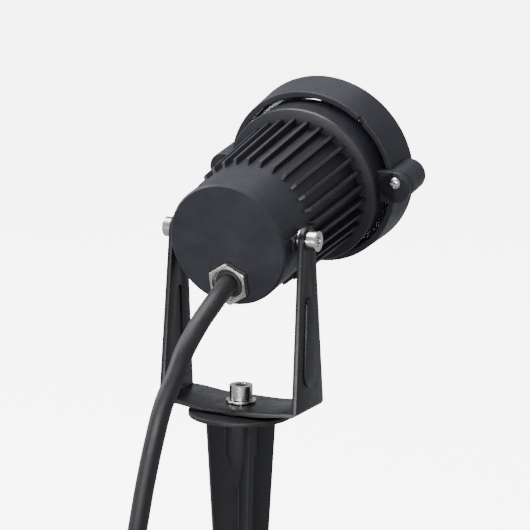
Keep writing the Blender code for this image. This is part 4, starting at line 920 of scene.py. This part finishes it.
def make_optics(finish):
    glass = turned("cover_glass", (
        (GLASS_RADIUS, GLASS_REAR), (GLASS_RADIUS, GLASS_FRONT),
    ), 144)
    ease_edges(glass, 0.0005, 3)
    finish_piece(stand(glass, LAMP), "front_glass", finish, "clear_glass")
    glass.data.materials.append(finish["part_black"])
    lamp_axis = LAMP.to_3x3() @ Vector((0, 0, 1))
    for face in glass.data.polygons:
        if abs(face.normal.dot(lamp_axis)) < 0.5:
            face.material_index = 1
    depth = SPIGOT_END - REFLECTOR_REAR
    inside = []
    for step in range(15):
        share = step / 14
        radius = REFLECTOR_NECK + (REFLECTOR_MOUTH - REFLECTOR_NECK) * share
        inside.append((radius, REFLECTOR_REAR + depth * share * share))
    outside = [(radius + REFLECTOR_WALL, height) for radius, height in inside]
    bowl = turned("reflector_bowl", tuple(outside + list(reversed(inside))), 120, closed=True)
    ease_edges(bowl, 0.0002, 2, 50)
    finish_piece(stand(bowl, LAMP), "reflector", finish, "mirror_bowl")


def make_gland(finish):
    nut = six_sided("gland_hex", GLAND_FLATS, GLAND_NUT_REAR, -0.0003, GLAND_CORNER)
    chamfer = turned("chamfer", (
        (GLAND_FLATS * 0.512, GLAND_NUT_REAR - 0.0002),
        (GLAND_FLATS * 0.70, GLAND_NUT_REAR + 0.0012),
        (GLAND_FLATS * 0.70, 0.0010),
    ), 96)
    common = nut.modifiers.new("Chamfer", "BOOLEAN")
    common.operation = "INTERSECT"
    common.object = chamfer
    apply_modifiers(nut)
    bpy.data.objects.remove(chamfer, do_unlink=True)
    cut_with(nut, bar("recess", GLAND_RECESS, -0.010, -0.0009, 96))
    cut_with(nut, bar("bore", GLAND_BORE, -0.010, 0.010, 96))
    ease_edges(nut, 0.00025, 2, 25)
    sleeve = turned("sleeve", (
        (GLAND_BORE, -0.0008), (GLAND_THREAD, -0.0008),
        (GLAND_THREAD, REAR_WALL), (GLAND_BORE, REAR_WALL),
    ), 96, closed=True)
    ease_edges(sleeve, 0.0002, 2)
    join_into(nut, [sleeve])
    place = LAMP @ Matrix.Translation((0, -GLAND_DROP, 0))
    finish_piece(stand(nut, place), "gland_nut", finish, "gland_nickel")
    seal = turned("gland_grommet", (
        (0.0044, -0.0019), (0.0048, -0.0023), (0.0056, -0.0023), (0.0060, -0.0019),
        (0.0060, REAR_WALL), (0.0044, REAR_WALL),
    ), 96, closed=True)
    ease_edges(seal, 0.0002, 2)
    finish_piece(stand(seal, place), "gland_seal", finish, "seal_rubber")


# ---------------------------------------------------------------- screws and washers
def socket_screw(name, head_radius, head_height, shank_radius, length, socket_flats):
    """A socket head cap screw along Z with its head above zero."""
    screw = turned(name, (
        (shank_radius * 0.8, -length),
        (shank_radius, -length + shank_radius * 0.2),
        (shank_radius, 0),
        (head_radius, 0),
        (head_radius, head_height),
    ), 96)
    cut_with(screw, six_sided("socket", socket_flats, head_height / 2, head_height + 0.001))
    rim = turned("rim", (
        (socket_flats * 0.53, head_height - 0.0003),
        (socket_flats * 0.60, head_height + 0.0002),
    ), 64)
    cut_with(screw, rim)
    ease_edges(screw, head_radius * 0.10, 3, 35)
    return screw


def make_pivot_hardware(finish):
    middle = Matrix.Translation((0, 0, PIVOT_HEIGHT))
    for label, side in (("left", 1), ("right", -1)):
        across = middle @ Matrix.Rotation(side * math.pi / 2, 4, "Y")
        bolt = socket_screw(f"pivot_screw_{label}", 0.00425, 0.0042, 0.0025, 0.0110, 0.0040)
        stand(bolt, across @ Matrix.Translation((0, 0, PIVOT_HEAD_REAR)))
        finish_piece(bolt, f"pivot_bolt_{label}", finish, "bright_steel")
        washer = flat_ring(f"pivot_ring_{label}", PIVOT_WASHER, 72)
        ease_edges(washer, 0.0002, 2)
        finish_piece(stand(washer, across), f"pivot_washer_{label}", finish, "bright_steel")


def make_base_hardware(finish):
    bolt = socket_screw("base_screw", 0.0050, 0.0060, 0.0030, 0.0200, 0.0050)
    stand(bolt, Matrix.Translation((0, 0, BASE_HEAD_BOTTOM)))
    finish_piece(bolt, "base_bolt", finish, "bright_steel")
    washer = flat_ring("base_ring", BASE_WASHER, 96)
    ease_edges(washer, 0.00025, 2)
    finish_piece(washer, "base_washer", finish, "bright_steel")
    nut = refined_copy("base_nut", "base_hex_nut", 0.0004)
    finish_piece(nut, "base_nut", finish, "bright_steel")


def make_hood_screws(finish):
    """Domed cross-head screws through the ears."""
    for index, angle in enumerate(LUG_SCREW_ANGLES, 1):
        x, y = LUG_SCREW_CIRCLE * math.cos(angle), LUG_SCREW_CIRCLE * math.sin(angle)
        screw = turned(f"ear_screw_{index}", (
            (0.0012, -0.0150),
            (0.0015, -0.0146),
            (0.0015, 0),
            (0.0026, 0),
            (0.0026, 0.0009),
            (0.0023, 0.0015),
            (0.0016, 0.0019),
            (0.0007, 0.0020),
        ), 64)
        for turn in (0, math.pi / 2):
            slot = block("slot", CROSS_SLOT, (0, 0, 0.0020))
            cut_with(screw, stand(slot, Matrix.Rotation(turn, 4, "Z")))
        ease_edges(screw, 0.00012, 2, 35)
        flip = Matrix.Translation((x, y, EAR_REAR - 0.0003)) @ Matrix.Rotation(math.pi, 4, "X")
        finish_piece(stand(screw, LAMP @ flip), f"hood_screw_{index}", finish, "bright_steel")


# ---------------------------------------------------------------- yoke and stake
def make_yoke(finish):
    yoke = refined_copy("yoke_bracket", "pressed_yoke", 0.0004, 3, 28)
    finish_piece(yoke, "yoke_bracket", finish, "steel_yoke")


def make_stake(finish):
    stake = refined_copy("ground_stake", "moulded_stake", 0.0004, 3, 28)
    finish_piece(stake, "ground_stake", finish, "stake_plastic")


def paint_remaining(finish):
    """The inner parts keep their CAD shape and take their finish."""
    slots = {part["node"]: part["material_slot"] for part in frame["record"]["subparts"]}
    for node, piece in frame["nodes"].items():
        piece.data.materials.clear()
        piece.data.materials.append(finish[slots[node]])


# ---------------------------------------------------------------- everything
make_camera()
finish = make_finishes()
cord, cord_exit, cord_path = make_cord(finish)
make_coil_tie(finish)
plug_pieces = make_plug(finish)
make_studio()
make_housing(finish)
make_hood(finish)
make_optics(finish)
make_gland(finish)
make_pivot_hardware(finish)
make_base_hardware(finish)
make_hood_screws(finish)
make_yoke(finish)
make_stake(finish)
paint_remaining(finish)
